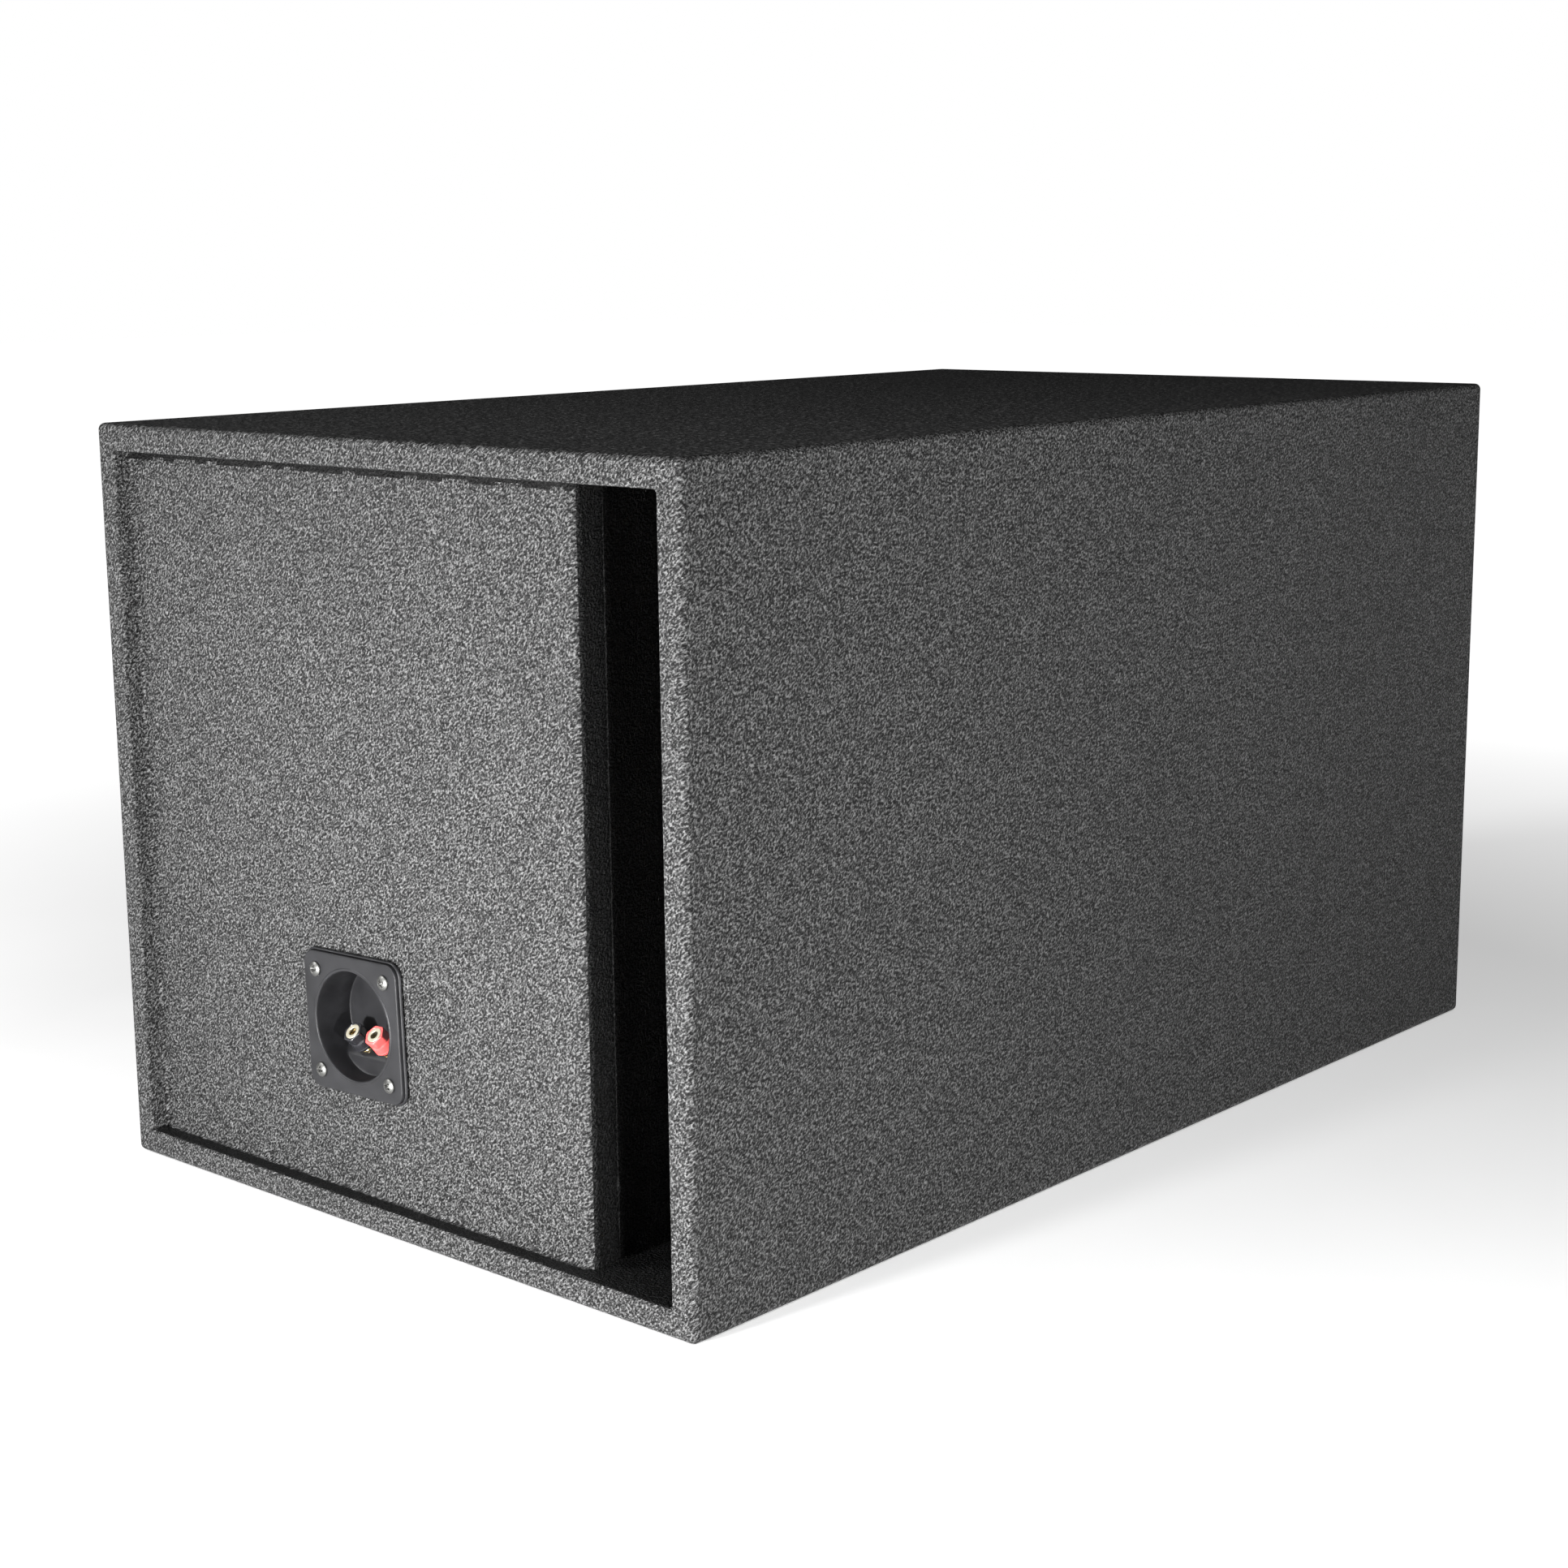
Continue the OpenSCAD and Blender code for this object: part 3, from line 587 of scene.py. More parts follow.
def half_section(inset, fillet):
    """The +Y half of the carcass's section at one inset, as the top, side and bottom stretches (y, z)."""
    y = half_depth - inset
    high, low = shell_high[2] - inset, shell_low[2] + inset
    if inset < wall - 0.01:
        r = max(EDGE_R - inset, 0.02)
        upper = [(y, inside_high)] + arc((y - r, high - r), r, 0, 90, CORNER_STEPS)
        side_top = [(y, z) for z in np.linspace(inside_high, inside_high - SEAM_RUN, CORNER_STEPS + 1)]
    else:
        centre = (y - fillet, high - fillet)
        upper = arc(centre, fillet, 45, 90, CORNER_STEPS + 1)
        side_top = arc(centre, fillet, 45, 0, CORNER_STEPS)
    mirrored = [(a, low + high - b) for a, b in side_top]
    straight = [(y, z) for z in np.linspace(side_top[-1][1], mirrored[-1][1], STRAIGHT_STEPS + 1)[1:-1]]
    lower = [(a, low + high - b) for a, b in upper]
    return upper, side_top + straight + mirrored[::-1], lower


def stretches(inset, fillet):
    """Outline stretches at one inset for the top, front, bottom and back panels."""
    upper, side, lower = half_section(inset, fillet)

    def across(stretch):
        far = [(-a, b) for a, b in stretch][::-1]
        ends = np.linspace(stretch[-1][0], far[0][0], STRAIGHT_STEPS + 1)[1:-1]
        return stretch + [(a, stretch[-1][1]) for a in ends] + far
    return {"top_panel": across(upper), "back_panel": side,
            "bottom_panel": across(lower), "front_panel": [(-a, b) for a, b in side]}


def carcass_profile():
    """Rings along X round one end and back along the inside: (x, inset, inner fillet)."""
    rings = [(x, 0, 0) for x in np.linspace(0, half_length - EDGE_R, STRAIGHT_STEPS + 1)[:-1]]
    rings.append((half_length - EDGE_R - BEFORE_EDGE, 0, 0))
    rings += [(x, inset, 0) for x, inset in arc((half_length - EDGE_R, EDGE_R), EDGE_R, -90, 0, CORNER_STEPS)]
    rings.append((half_length, EDGE_R + AFTER_EDGE, 0))
    rings += [(x, inset, 0) for x, inset in arc((half_length - LIP_R, wall - LIP_R), LIP_R, 0, 90, 5)[:-1]]
    rings += [(half_length - depth, wall, fillet) for depth, fillet in INNER_FILLETS]
    mirrored = [(-x, inset, fillet) for x, inset, fillet in rings[1:]][::-1]
    return rings + mirrored


INWARD = {"top_panel": (0, 0, -1), "bottom_panel": (0, 0, 1), "back_panel": (0, -1, 0)}


def paint_shade(obj, in_shade):
    """Faces that look into the mouth or the slot get the near-black coating, matched to the tones there: painted
    shade.
    """
    obj.data.materials.append(MATERIALS["slot_coating"])
    for polygon in obj.data.polygons:
        if in_shade(polygon.normal, polygon.center / MM):
            polygon.material_index = 1


def carcass():
    profile = carcass_profile()
    for node in ("top_panel", "bottom_panel", "back_panel", "front_panel"):
        shape = Shape()
        rings = [shape.add([(x, y, z) for y, z in stretches(inset, fillet)[node]])
                 for x, inset, fillet in profile]
        shape.skin(rings, closed=False, loop=True)
        shape.cap(*([ring[end] for ring in rings] for end in (0, -1)))
        panel = make(node + "_coated", shape, "textured_coating", nodes=[node])
        # Panel faces turned into the cabinet and its mouth get painted shade.
        if node in INWARD:
            inward = Vector(INWARD[node])
            paint_shade(panel, lambda normal, at: normal.dot(inward) > 0.8)
        if node == "front_panel":
            cut_driver_opening(panel)


CUTOUT_R = 176.5
BOLT_RING_R = 185.5
BOLT_HOLE_R = 2.8
BOLT_PLACES = [(BOLT_RING_R * cos(a), BOLT_RING_R * sin(a))
               for a in np.radians([22.5 + 45 * i for i in range(8)])]


def cut_driver_opening(panel):
    shape = Shape(DRIVER)
    holes = [(BOLT_HOLE_R, at, 16) for at in BOLT_PLACES]
    for radius, at, count in [(CUTOUT_R, (0, 0), 128)] + holes:
        shape.cap(*shape.stack([(radius, -wall - 3), (radius, 3)], count, at))
    cut(panel, shape)


# ---- End panels, with the coating built up where they meet the outer panels ----

FILLET_R = 2.1
SLOT_EDGE_R = 5.5
FILLET_STEPS = (0, 0.2, 0.5, 0.9, 1.4, 2.1, 3.2, 5)
CUP_HOLE_R = 34.5
CUP_HOLE_ENDS = (4, -25)
EASED = 0.3
FIELD_EDGE = 12
GRID_UP, GRID_ACROSS = 60, 36
# Depth of the painted shade strip along the top of the port end panel, under the lip.
PAINTED_SHADE_STRIP = 4.2


def build_up(distance, along, seed):
    """How far the coating stands out at a distance from a corner: a hollow fillet with a slight bead."""
    r = FILLET_R * (1 + 0.35 * wobble(along * 0.045, seed) + 0.2 * wobble(along * 0.3, seed + 5))
    hollow = r - sqrt(max(r * r - max(r - distance, 0) ** 2, 0))
    return hollow + 0.22 * exp(-((distance - 2.6) / 0.9) ** 2)


def graded(low, high, count):
    """Places from corner to corner, close together in both fillets and even between them."""
    return ([low + d for d in FILLET_STEPS] + [*np.linspace(low + FIELD_EDGE, high - FIELD_EDGE, count)] +
            [high - d for d in FILLET_STEPS[::-1]])


def end_panel(node, out, open_side):
    """out is +1 for the port end and -1 for the closed end."""
    low, high = box(node)
    face = high[0] if out > 0 else low[0]
    back = low[0] if out > 0 else high[0]
    heights = graded(low[2], high[2], GRID_UP)
    across = graded(low[1], high[1], GRID_ACROSS)
    if open_side:
        across[len(FILLET_STEPS):] = np.linspace(low[1] + FIELD_EDGE, high[1] - SLOT_EDGE_R - 1, GRID_ACROSS)
    shape = Shape()
    rings = []
    for z in heights:
        ends = max(build_up(z - low[2], 500, 3), build_up(high[2] - z, 900, 4))
        loop = []
        for y in across:
            lift = max(ends, build_up(y - low[1], z, 1))
            if not open_side:
                lift = max(lift, build_up(high[1] - y, z, 2))
            loop.append((face + out * lift, y, z))
        if open_side:
            corner = arc((face - SLOT_EDGE_R, high[1] - SLOT_EDGE_R), SLOT_EDGE_R, 0, 90, 8)
            for k, (x, y) in enumerate(corner):
                loop.append((x + ends * (1 - k / 8), y, z))
        loop += [(back + out * EASED, high[1], z), (back, high[1] - EASED, z)]
        loop += [(back, low[1] + EASED, z), (back + out * EASED, low[1], z)]
        rings.append(shape.add(loop))
    shape.solid(rings)
    panel = make(node + "_coated", shape, "textured_coating", nodes=[node])
    if open_side:
        # Painted shade on faces that face into the slot, and on a ragged strip under the top lip.
        paint_shade(panel, lambda normal, at: (normal.y > 0.8 and at.y > high[1] - SLOT_EDGE_R)
                or at.z > high[2] - PAINTED_SHADE_STRIP - 1.2 * wobble(at.y * 0.5, 31))
        cutter = Shape(CUP)
        front, back = CUP_HOLE_ENDS
        turned_solid(cutter, [(0, front), (CUP_HOLE_R, front), (CUP_HOLE_R, back), (0, back)], 96)
        cut(panel, cutter)


RIDGE_INSIDE = 61
RIDGE = ((1.4, 0), (0.5, 0.3), (-0.4, 0.3), (-1.4, 0))


def port_wall():
    """The slot's long wall: rounded inner end, and a faint ridge a hand's breadth inside the mouth."""
    r = (port_high[1] - port_low[1]) / 2
    ridge_x = end_high[0] - RIDGE_INSIDE
    loop = [(port_high[0], port_low[1] + EASED), (port_high[0], port_high[1] - EASED)]
    loop.append((port_high[0] - EASED, port_high[1]))
    loop += [(ridge_x + d, port_high[1] + h) for d, h in RIDGE]
    loop += [(x, port_high[1]) for x in np.linspace(ridge_x - 12, port_low[0] + r + 2, 12)]
    loop += arc((port_low[0] + r, port_low[1] + r), r, 90, 270, 20)
    loop += [(x, port_low[1]) for x in np.linspace(port_low[0] + r + 2, port_high[0] - EASED, 12)]
    shape = Shape()
    shape.solid([shape.add([(x, y, z) for x, y in loop]) for z in np.linspace(port_low[2], port_high[2], 20)])
    # The whole wall gets the near-black coating: painted shade, since the slot falls dark.
    make("port_wall_coated", shape, "slot_coating", nodes=["port_wall"])


def bead(name, start, end, radius, seed, blob=None):
    """A run of coating along a joint, uneven in width, with a drip where blob says."""
    start, end = np.array(start, float), np.array(end, float)
    length = np.linalg.norm(end - start)
    count = int(length / 2.2)
    path = [start + (end - start) * i / count + 0.25 * wobble(i * 0.21, seed) * np.array((1, 0.5, 0.5))
            for i in range(count + 1)]

    def width(t):
        along = t * length
        r = radius * (1 + 0.3 * wobble(along * 0.09, seed + 2) + 0.18 * wobble(along * 0.4, seed + 3))
        if blob is not None:
            r += 1.3 * exp(-((t - blob) * length / 2.6) ** 2)
        return max(r * min(1, 0.3 + 12 * t, 0.3 + 12 * (1 - t)), 0.1)
    shape = Shape()
    tube(shape, path, width, 12)
    # Beads get the near-black coating: painted shade inside the mouth and slot.
    make(name, shape, "slot_coating")


def coating_beads():
    slot_y, back_y = end_high[1], half_depth - wall
    mouth, face, deep = half_length - 3, end_high[0] - 6, half_length - PROFILE_DEPTH
    seam = (end_low[0], slot_y + 0.1)
    bead("seam_bead_port", (*seam, inside_low), (*seam, inside_high), 0.5, 11, blob=0.1)
    bead("floor_bead_wall", (face, slot_y, inside_low), (deep, slot_y, inside_low), 1.0, 12)
    bead("top_bead_wall", (face, slot_y, inside_high), (deep, slot_y, inside_high), 0.9, 13)
    bead("floor_bead_back", (mouth, back_y, inside_low), (deep, back_y, inside_low), 1.1, 14)


carcass()
end_panel("port_end_panel", 1, True)
end_panel("closed_end_panel", -1, False)
port_wall()
coating_beads()


# ---- Terminal cup ----

CUP_R = 31.5
CUP_DEPTH = 19.5
CUP_SKIN = 2.5
PLATE = 40.0
PLATE_R = 8.0
TIER_GROW = 1.2
GASKET_T = 1.0
REAR_TIER = 2.6
FRONT_TIER = 4.6
SHELF_TOP = -11.0
SHELF_RUN = 11.0
SHELF_SKIN = 3.0
SCREW_HALF_PITCH = 29.5
BRIM = FRONT_TIER - 0.6
# The plate's two tiers from the gasket out: growth of the square, of its corner radius, and height.
CUP_TIERS = (
    (TIER_GROW - 0.3, 0.8, GASKET_T), (TIER_GROW, 1, GASKET_T + 0.3), (TIER_GROW, 1, GASKET_T + 0.7),
    (TIER_GROW - 0.15, 1, GASKET_T + 1.1), (TIER_GROW - 0.5, 0.7, REAR_TIER - 0.15),
    (TIER_GROW - 0.85, 0.5, REAR_TIER - 0.05), (0.2, 0, REAR_TIER - 0.6), (0, 0, REAR_TIER - 0.6),
    (0, 0, REAR_TIER), (0, 0, FRONT_TIER - 0.8), (-0.12, 0, FRONT_TIER - 0.35),
    (-0.4, -0.2, FRONT_TIER - 0.08), (-0.9, -0.6, FRONT_TIER), (-1.5, -1, FRONT_TIER))
# The raised rim round the bowl: how far outside the bowl and over the plate.
CUP_RIM = ((2.4, 0), (2.0, 0), (1.7, 0.28), (1.2, 0.4), (0.6, 0.3), (0.2, -0.05), (0, -0.6))


def shelf_height(y):
    """Height of the bowl's floor: flat, then up the sloping shelf, then the ledge, with soft folds."""
    ledge = -CUP_DEPTH + SHELF_RUN + (SHELF_TOP - SHELF_RUN - y) * 0.13
    slope = -CUP_DEPTH + SHELF_TOP - y
    rising = max(-CUP_DEPTH, slope) + 0.35 * exp(-((y - SHELF_TOP) / 0.9) ** 2)
    return min(rising, ledge) - 0.3 * exp(-((y - SHELF_TOP + SHELF_RUN) / 0.7) ** 2)


def pocket_height(y):
    """The shelf's inner face, seen from inside the cabinet."""
    flat = -CUP_DEPTH - CUP_SKIN
    slope = SHELF_TOP - CUP_DEPTH - SHELF_SKIN * sqrt(2) - y
    return min(max(flat, slope), -CUP_DEPTH + SHELF_RUN - SHELF_SKIN)


def square_reach(theta, half, corner):
    """Distance from the centre to a round-cornered square's outline."""
    c, s = abs(cos(theta)), abs(sin(theta))
    reach = half / max(c, s)
    if min(reach * c, reach * s) > half - corner:
        d = (c + s) * (half - corner)
        reach = d + sqrt(max(d * d - 2 * (half - corner) ** 2 + corner ** 2, 0))
    return reach


def terminal_cup():
    """Moulded cup: a plate in two tiers, a round bowl, and a shelf that carries the posts."""
    folds = [degrees(asin((fold + d) / CUP_R)) for fold in (SHELF_TOP, SHELF_TOP - SHELF_RUN)
             for d in (-1.6, -0.8, 0, 0.8, 1.6)]
    angles = [radians(a) for a in sorted(set([*np.arange(-90, 90.01, 1.5)] + folds))]
    full_turn = angles + [pi - a for a in angles[-2:0:-1]]
    shape = Shape(CUP)

    def ring(reach, height):
        return shape.ring(full_turn, reach, (lambda x, y: height(y)) if callable(height) else height)

    def wall_height(step):
        """The bowl's wall goes from its brim to just over its floor in eight steps."""
        return lambda y: BRIM + (shelf_height(y) + 1.0 - BRIM) * step / 8

    def floor_rows(edge, height):
        """Rows across the circle between matching points left and right."""
        n = len(angles)
        rows = []
        for j in range(1, n - 1):
            right, left = shape.points[edge[j]], shape.points[edge[-j]]
            row = [edge[j]]
            reach = np.linalg.norm(right - left) / 2
            y = (shape.matrix[:3, 1] @ (right - shape.matrix[:3, 3]))
            row += shape.add([(reach * (1 - 2 * k / 16), y, height(y)) for k in range(1, 16)])
            rows.append(row + [edge[-j]])
        shape.skin(rows, closed=False)
        for tip, row in ((edge[0], rows[0]), (edge[n - 1], rows[-1])):
            for a, b in zip(row, row[1:]):
                shape.faces.append((tip, a, b))

    front = [ring(lambda t: square_reach(t, PLATE + grow, PLATE_R + softer), z)
             for grow, softer, z in CUP_TIERS]
    front += [ring(CUP_R + out, FRONT_TIER + up) for out, up in CUP_RIM]
    front += [ring(CUP_R - 0.03 * step, wall_height(step)) for step in range(1, 9)]
    front += [ring(CUP_R - 0.4, lambda y: shelf_height(y) + 0.35), ring(CUP_R - 1.1, shelf_height)]
    shape.skin(front)
    floor_rows(front[-1], shelf_height)
    low, outer = -CUP_DEPTH - CUP_SKIN, CUP_R + CUP_SKIN
    back = [
        front[0], ring(outer + 0.6, GASKET_T), ring(outer, GASKET_T - 0.6), ring(outer, low + 0.5),
        ring(outer - 0.5, low), ring(CUP_R + 0.3, low),
        ring(CUP_R, lambda y: max(pocket_height(y), low + 0.01) * 0.3 + (low + 0.01) * 0.7),
        ring(CUP_R - 0.2, lambda y: pocket_height(y) + 0.02),
    ]
    shape.skin(back)
    floor_rows(back[-1], pocket_height)
    make("terminal_cup_moulded", shape, "cup_plastic", nodes=["terminal_cup"])


HEAD_R = 4.35
HEAD_H = 2.4
HEAD_DOME_R = 7.0
SHANK_R = 1.9
SHANK_L = 15.0
RECESS_TURN = radians(20)
RECESS_DEPTH = 1.9
WING_HALF_WIDTH = (0.42, 0.72)
WING_END = (1.7, 2.5)


def recess_depth(x, y, turn):
    """Depth of a cross recess at a point of the head: four tapering wings round a deeper middle."""
    turned = (x * cos(turn) + y * sin(turn), -x * sin(turn) + y * cos(turn))
    along, aside = max(abs(turned[0]), abs(turned[1])), min(abs(turned[0]), abs(turned[1]))
    wing = (1 - ease(aside, *WING_HALF_WIDTH)) * (1 - ease(along, *WING_END))
    return wing * (RECESS_DEPTH - 0.42 * along)


def thread(radius, depth, pitch, heights):
    """Rows of a screw thread: at each height the radius goes by angle."""
    def reach_at(z):
        return lambda t: radius - depth * abs(2 * ((z / pitch - t / (2 * pi)) % 1.0) - 1)
    return [(reach_at(z), z) for z in heights]


def head_dome(r):
    return FRONT_TIER + HEAD_H - HEAD_DOME_R + sqrt(HEAD_DOME_R ** 2 - r * r)


def pan_screws():
    """Pan heads with a cross recess, on threaded shanks."""
    edge = head_dome(HEAD_R)
    for number, (sx, sy) in enumerate(((-1, -1), (1, -1), (1, 1), (-1, 1)), 1):
        turn = RECESS_TURN - 0.5 * number

        def top(x, y):
            return head_dome(min(hypot(x, y), HEAD_R)) - recess_depth(x, y, turn)
        rows = [(r, top) for r in [*np.linspace(0.25, 2.6, 15)] + [2.9, 3.2, 3.5, 3.75, 3.95]]
        rows += [(HEAD_R - 0.18, edge + 0.12), (HEAD_R - 0.04, edge - 0.1), (HEAD_R, edge - 0.35),
                 (HEAD_R, FRONT_TIER + 0.12), (HEAD_R - 0.1, FRONT_TIER), (SHANK_R + 0.2, FRONT_TIER)]
        rows += thread(SHANK_R, 0.4, 1.3, np.arange(FRONT_TIER - 0.3, -SHANK_L + 2.5, -0.22))
        rows += [(1.0, -SHANK_L + 1.2), (0.25, -SHANK_L)]
        shape = Shape(CUP)
        at = (sx * SCREW_HALF_PITCH, sy * SCREW_HALF_PITCH)
        rings = shape.stack(rows, 96, at)
        shape.fan(rings[0], (*at, top(0, 0)))
        shape.cap(rings[-1])
        make(f"terminal_screw_{number}", shape, "zinc_steel", nodes=["terminal_screws"])


# ---- Binding posts ----

STUD_R = 3.0
STUD_TAIL = -13.0
STUD_TIP = 12.5
COLLAR_R = 5.0
COLLAR_H = 1.2
SOCKET_R = 2.0
SOCKET_DEPTH = 11.0
THREAD_PITCH = 1.0
THREAD_DEPTH = 0.35


def post(tint):
    """Brass post: collar, thread above and below it, and a drilled socket in the tip."""
    def stud_thread(low, high):
        return thread(STUD_R, THREAD_DEPTH, THREAD_PITCH, np.arange(low, high, THREAD_PITCH / 6))
    rows = [(STUD_R - 0.6, STUD_TAIL)] + stud_thread(STUD_TAIL + 0.4, -3)
    rows += [(STUD_R, -2.8), (STUD_R, 0), (COLLAR_R - 0.15, 0.02), (COLLAR_R, 0.2),
             (COLLAR_R, COLLAR_H - 0.25), (COLLAR_R - 0.25, COLLAR_H), (STUD_R, COLLAR_H)]
    rows += stud_thread(COLLAR_H + 0.2, STUD_TIP - 0.6)
    rows += [(STUD_R - 0.5, STUD_TIP - 0.1), (STUD_R - 0.65, STUD_TIP), (SOCKET_R + 0.12, STUD_TIP),
             (SOCKET_R, STUD_TIP - 0.15), (SOCKET_R, STUD_TIP - SOCKET_DEPTH)]
    shape = Shape(POSTS[tint])
    rings = shape.stack(rows, 48)
    shape.fan(rings[-1], (0, 0, STUD_TIP - SOCKET_DEPTH - 1.2))
    shape.cap(rings[0])
    make(f"{tint}_post_threaded", shape, "brass", nodes=[tint + "_post"])


CAP_BASE = 1.4
CAP_TOP = 14.7
INSERT_R = 4.7
INSERT_FRONT = 1.2
HEX_HALF = 5.8
SKIRT_HEIGHTS = (1.4, 1.55, 1.9, 2.5, 3.2, 3.8, 4.15, 4.35, 4.6, 6, 7.5, 8.8, 9.6, 10.4)
SKIRT_RADII = (4.9, 5.3, 5.75, 6.25, 6.68, 6.94, 7.0, 6.98, 6.8, 6.72, 6.55, 6.32, 6.0, 5.8)


def lifted(tint):
    """The post's frame, moved out by how far its cap is unscrewed."""
    corners = np.array([v.co for v in frame["nodes"][tint + "_cap_insert"].data.vertices]) / MM
    reach = ((corners - POSTS[tint][:3, 3]) @ lift_axis).max()
    matrix = POSTS[tint].copy()
    matrix[:3, 3] += lift_axis * (reach - CAP_TOP)
    return matrix


def cap_insert(tint):
    """Pale metal ring in the cap's tip, with the plug's hole through it."""
    shape = Shape(lifted(tint))
    inner, start = STUD_R + 0.05, CAP_BASE + 2.1
    hole, front = SOCKET_R + 0.3, CAP_TOP - INSERT_FRONT
    shape.stack(rounded([(INSERT_R, start, 0.2), (INSERT_R, CAP_TOP, 0.3), (hole, CAP_TOP, 0.35),
                         (hole, front, 0.1), (inner, front, 0.1), (inner, start, 0.2)]), 64, loop=True)
    make(f"{tint}_cap_ring", shape, "pale_brass", f"{tint}_insert", [tint + "_cap_insert"])


def hexagon(t, half):
    """Reach of a hexagon at an angle, and how far that is from the middle of a side, 0 to 1."""
    off = abs((degrees(t) % 60) - 30)
    return half / cos(radians(off)), off / 30


def cap_row(z, inset=0.0):
    """Row of the cap's outside: part round skirt, part hexagon with softened corners."""
    radius, share = np.interp(z, SKIRT_HEIGHTS, SKIRT_RADII), ease(z, 8.7, 10.2)

    def reach(t):
        side, off = hexagon(t, HEX_HALF)
        return radius * (1 - share) + (side - 0.34 * off ** 7) * share - inset
    return reach, z


CAP_HEIGHTS = (1.4, 1.48, 1.6, 1.9, 2.4, 3.0, 3.5, 3.85, 4.1, 4.22, 4.36, 4.5, 4.7, 5.4, 6.4, 7.4, 8.3,
               8.8, 9.1, 9.4, 9.7, 10.0, 10.3, 11.2, 12.4, 13.6, 14.2)
CAP_TIP = ((14.45, 0.05), (14.6, 0.16), (14.68, 0.32), (CAP_TOP, 0.6))


def cap_piece(tint):
    """Moulded cap: hexagonal head that runs into a round, bellied skirt with a ridge."""
    bore, deep = INSERT_R + 0.1, CAP_BASE + 2
    rows = [cap_row(z) for z in CAP_HEIGHTS] + [cap_row(z, inset) for z, inset in CAP_TIP]
    rows += [(bore + 0.15, CAP_TOP), (bore, CAP_TOP - 0.15), (bore, deep), (STUD_R + 0.5, deep),
             (STUD_R + 0.4, deep - 0.1), (STUD_R + 0.4, CAP_BASE)]
    shape = Shape(lifted(tint))
    shape.stack(rows, 120, loop=True)
    make(f"{tint}_cap_moulded", shape, f"{tint}_cap_plastic", f"{tint}_knob", [tint + "_cap"])


terminal_cup()
pan_screws()
for tint in ("black", "red"):
    post(tint)
    cap_insert(tint)
    cap_piece(tint)


# ---- Driver ----

FLANGE_Z = 6.0
COIL_R = 37.9
FORMER_T = 0.3
NECK_Z = -66.0
LIP_INNER_R = 143.0
CONE_EDGE_R = 151.5
CONE_T = 1.8
ROLL_R = 161.5
ROLL_OUT = 11.1
ROLL_T = 1.2
TRIM_IN = 173.0
TRIM_OUT = 180.0
DUST_R = 54.0
DUST_RISE = 17.0
LEDGE_Z = -80.0
LEDGE_R = 88.0
POT_R = 106.0
DUST_T = 0.9
LEAD_R = 73
GAP_R = 40.6
PLATE_EDGE_R = 80
PLATE_FRONT, PLATE_BACK = -112, -120
MAGNET_IN, MAGNET_OUT, MAGNET_BACK = 46, 95, -144
VENT_R, POLE_R, YOKE_R = 14, 37.2, 90
POLE_FRONT, YOKE_BACK = -108, -154
FORMER_FRONT, FORMER_BACK = -62, -129
COIL_BACK, COIL_HEIGHT, COIL_TURNS = -128, 24, 30
WINDING_IN, WINDING_OUT = COIL_R + 1.42, COIL_R + 1.7


def cone_z(r):
    return NECK_Z + (FLANGE_Z - 1 - NECK_Z) * ((r - COIL_R) / (LIP_INNER_R - COIL_R)) ** 1.1


def lathed(name, outline, finish, body="cabinet", nodes=(), count=128):
    shape = Shape(DRIVER)
    shape.stack(outline, count, loop=True)
    return make(name, shape, finish, body, nodes)


def bend_by_radius(obj):
    """Bakes a piece's place into its mesh. The piece lies between the fixed frame and the cone, and nothing here
    makes it follow the cone's motion.
    """
    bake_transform(obj)


def surround():
    """Half-round rubber roll with a fine groove on its crest and a glued lip on each side."""
    def roll(radius, start, end, steps):
        points = arc((ROLL_R, FLANGE_Z), radius, start, end, steps)
        return [(r, z - (0.2 if abs(k - steps / 2) < 1 and radius == ROLL_OUT else 0))
                for k, (r, z) in enumerate(points)]
    top = FLANGE_Z + ROLL_T
    outline = [(TRIM_OUT, FLANGE_Z + 0.3), (TRIM_OUT, top - 0.3), (TRIM_OUT - 0.3, top),
               (ROLL_R + ROLL_OUT + 0.9, top)]
    outline += roll(ROLL_OUT, 9, 171, 40)
    outline += [(ROLL_R - ROLL_OUT - 0.9, top), (LIP_INNER_R + 1.4, top), (LIP_INNER_R + 1, top - 0.4),
                (LIP_INNER_R + 1, FLANGE_Z), (ROLL_R - ROLL_OUT + ROLL_T - 0.1, FLANGE_Z)]
    outline += roll(ROLL_OUT - ROLL_T, 179, 1, 30)
    piece = lathed("surround_roll", outline, "surround_rubber", None, ["surround"], 192)
    bend_by_radius(piece)


def cone():
    """Pressed paper cone with shallow stiffening rings and a flat edge for the surround."""
    def front(r):
        rings = sum(exp(-((r - at) / 1.3) ** 2) for at in (74, 88, 102, 116, 130))
        return cone_z(r) + 0.45 * rings
    run = np.linspace(COIL_R + FORMER_T, LIP_INNER_R, 90)
    outline = [(r, front(r)) for r in run]
    outline += [(LIP_INNER_R + 0.6, FLANGE_Z - 0.2), (LIP_INNER_R + 1.4, FLANGE_Z),
                (CONE_EDGE_R - 0.3, FLANGE_Z), (CONE_EDGE_R, FLANGE_Z - 0.3), (CONE_EDGE_R, FLANGE_Z - 1.5),
                (LIP_INNER_R + 1, FLANGE_Z - 1.6)]
    outline += [(r, front(r) - CONE_T) for r in run[::-1]]
    lathed("cone_paper_shell", outline, "cone_paper", "moving_cone", ["cone"], 160)


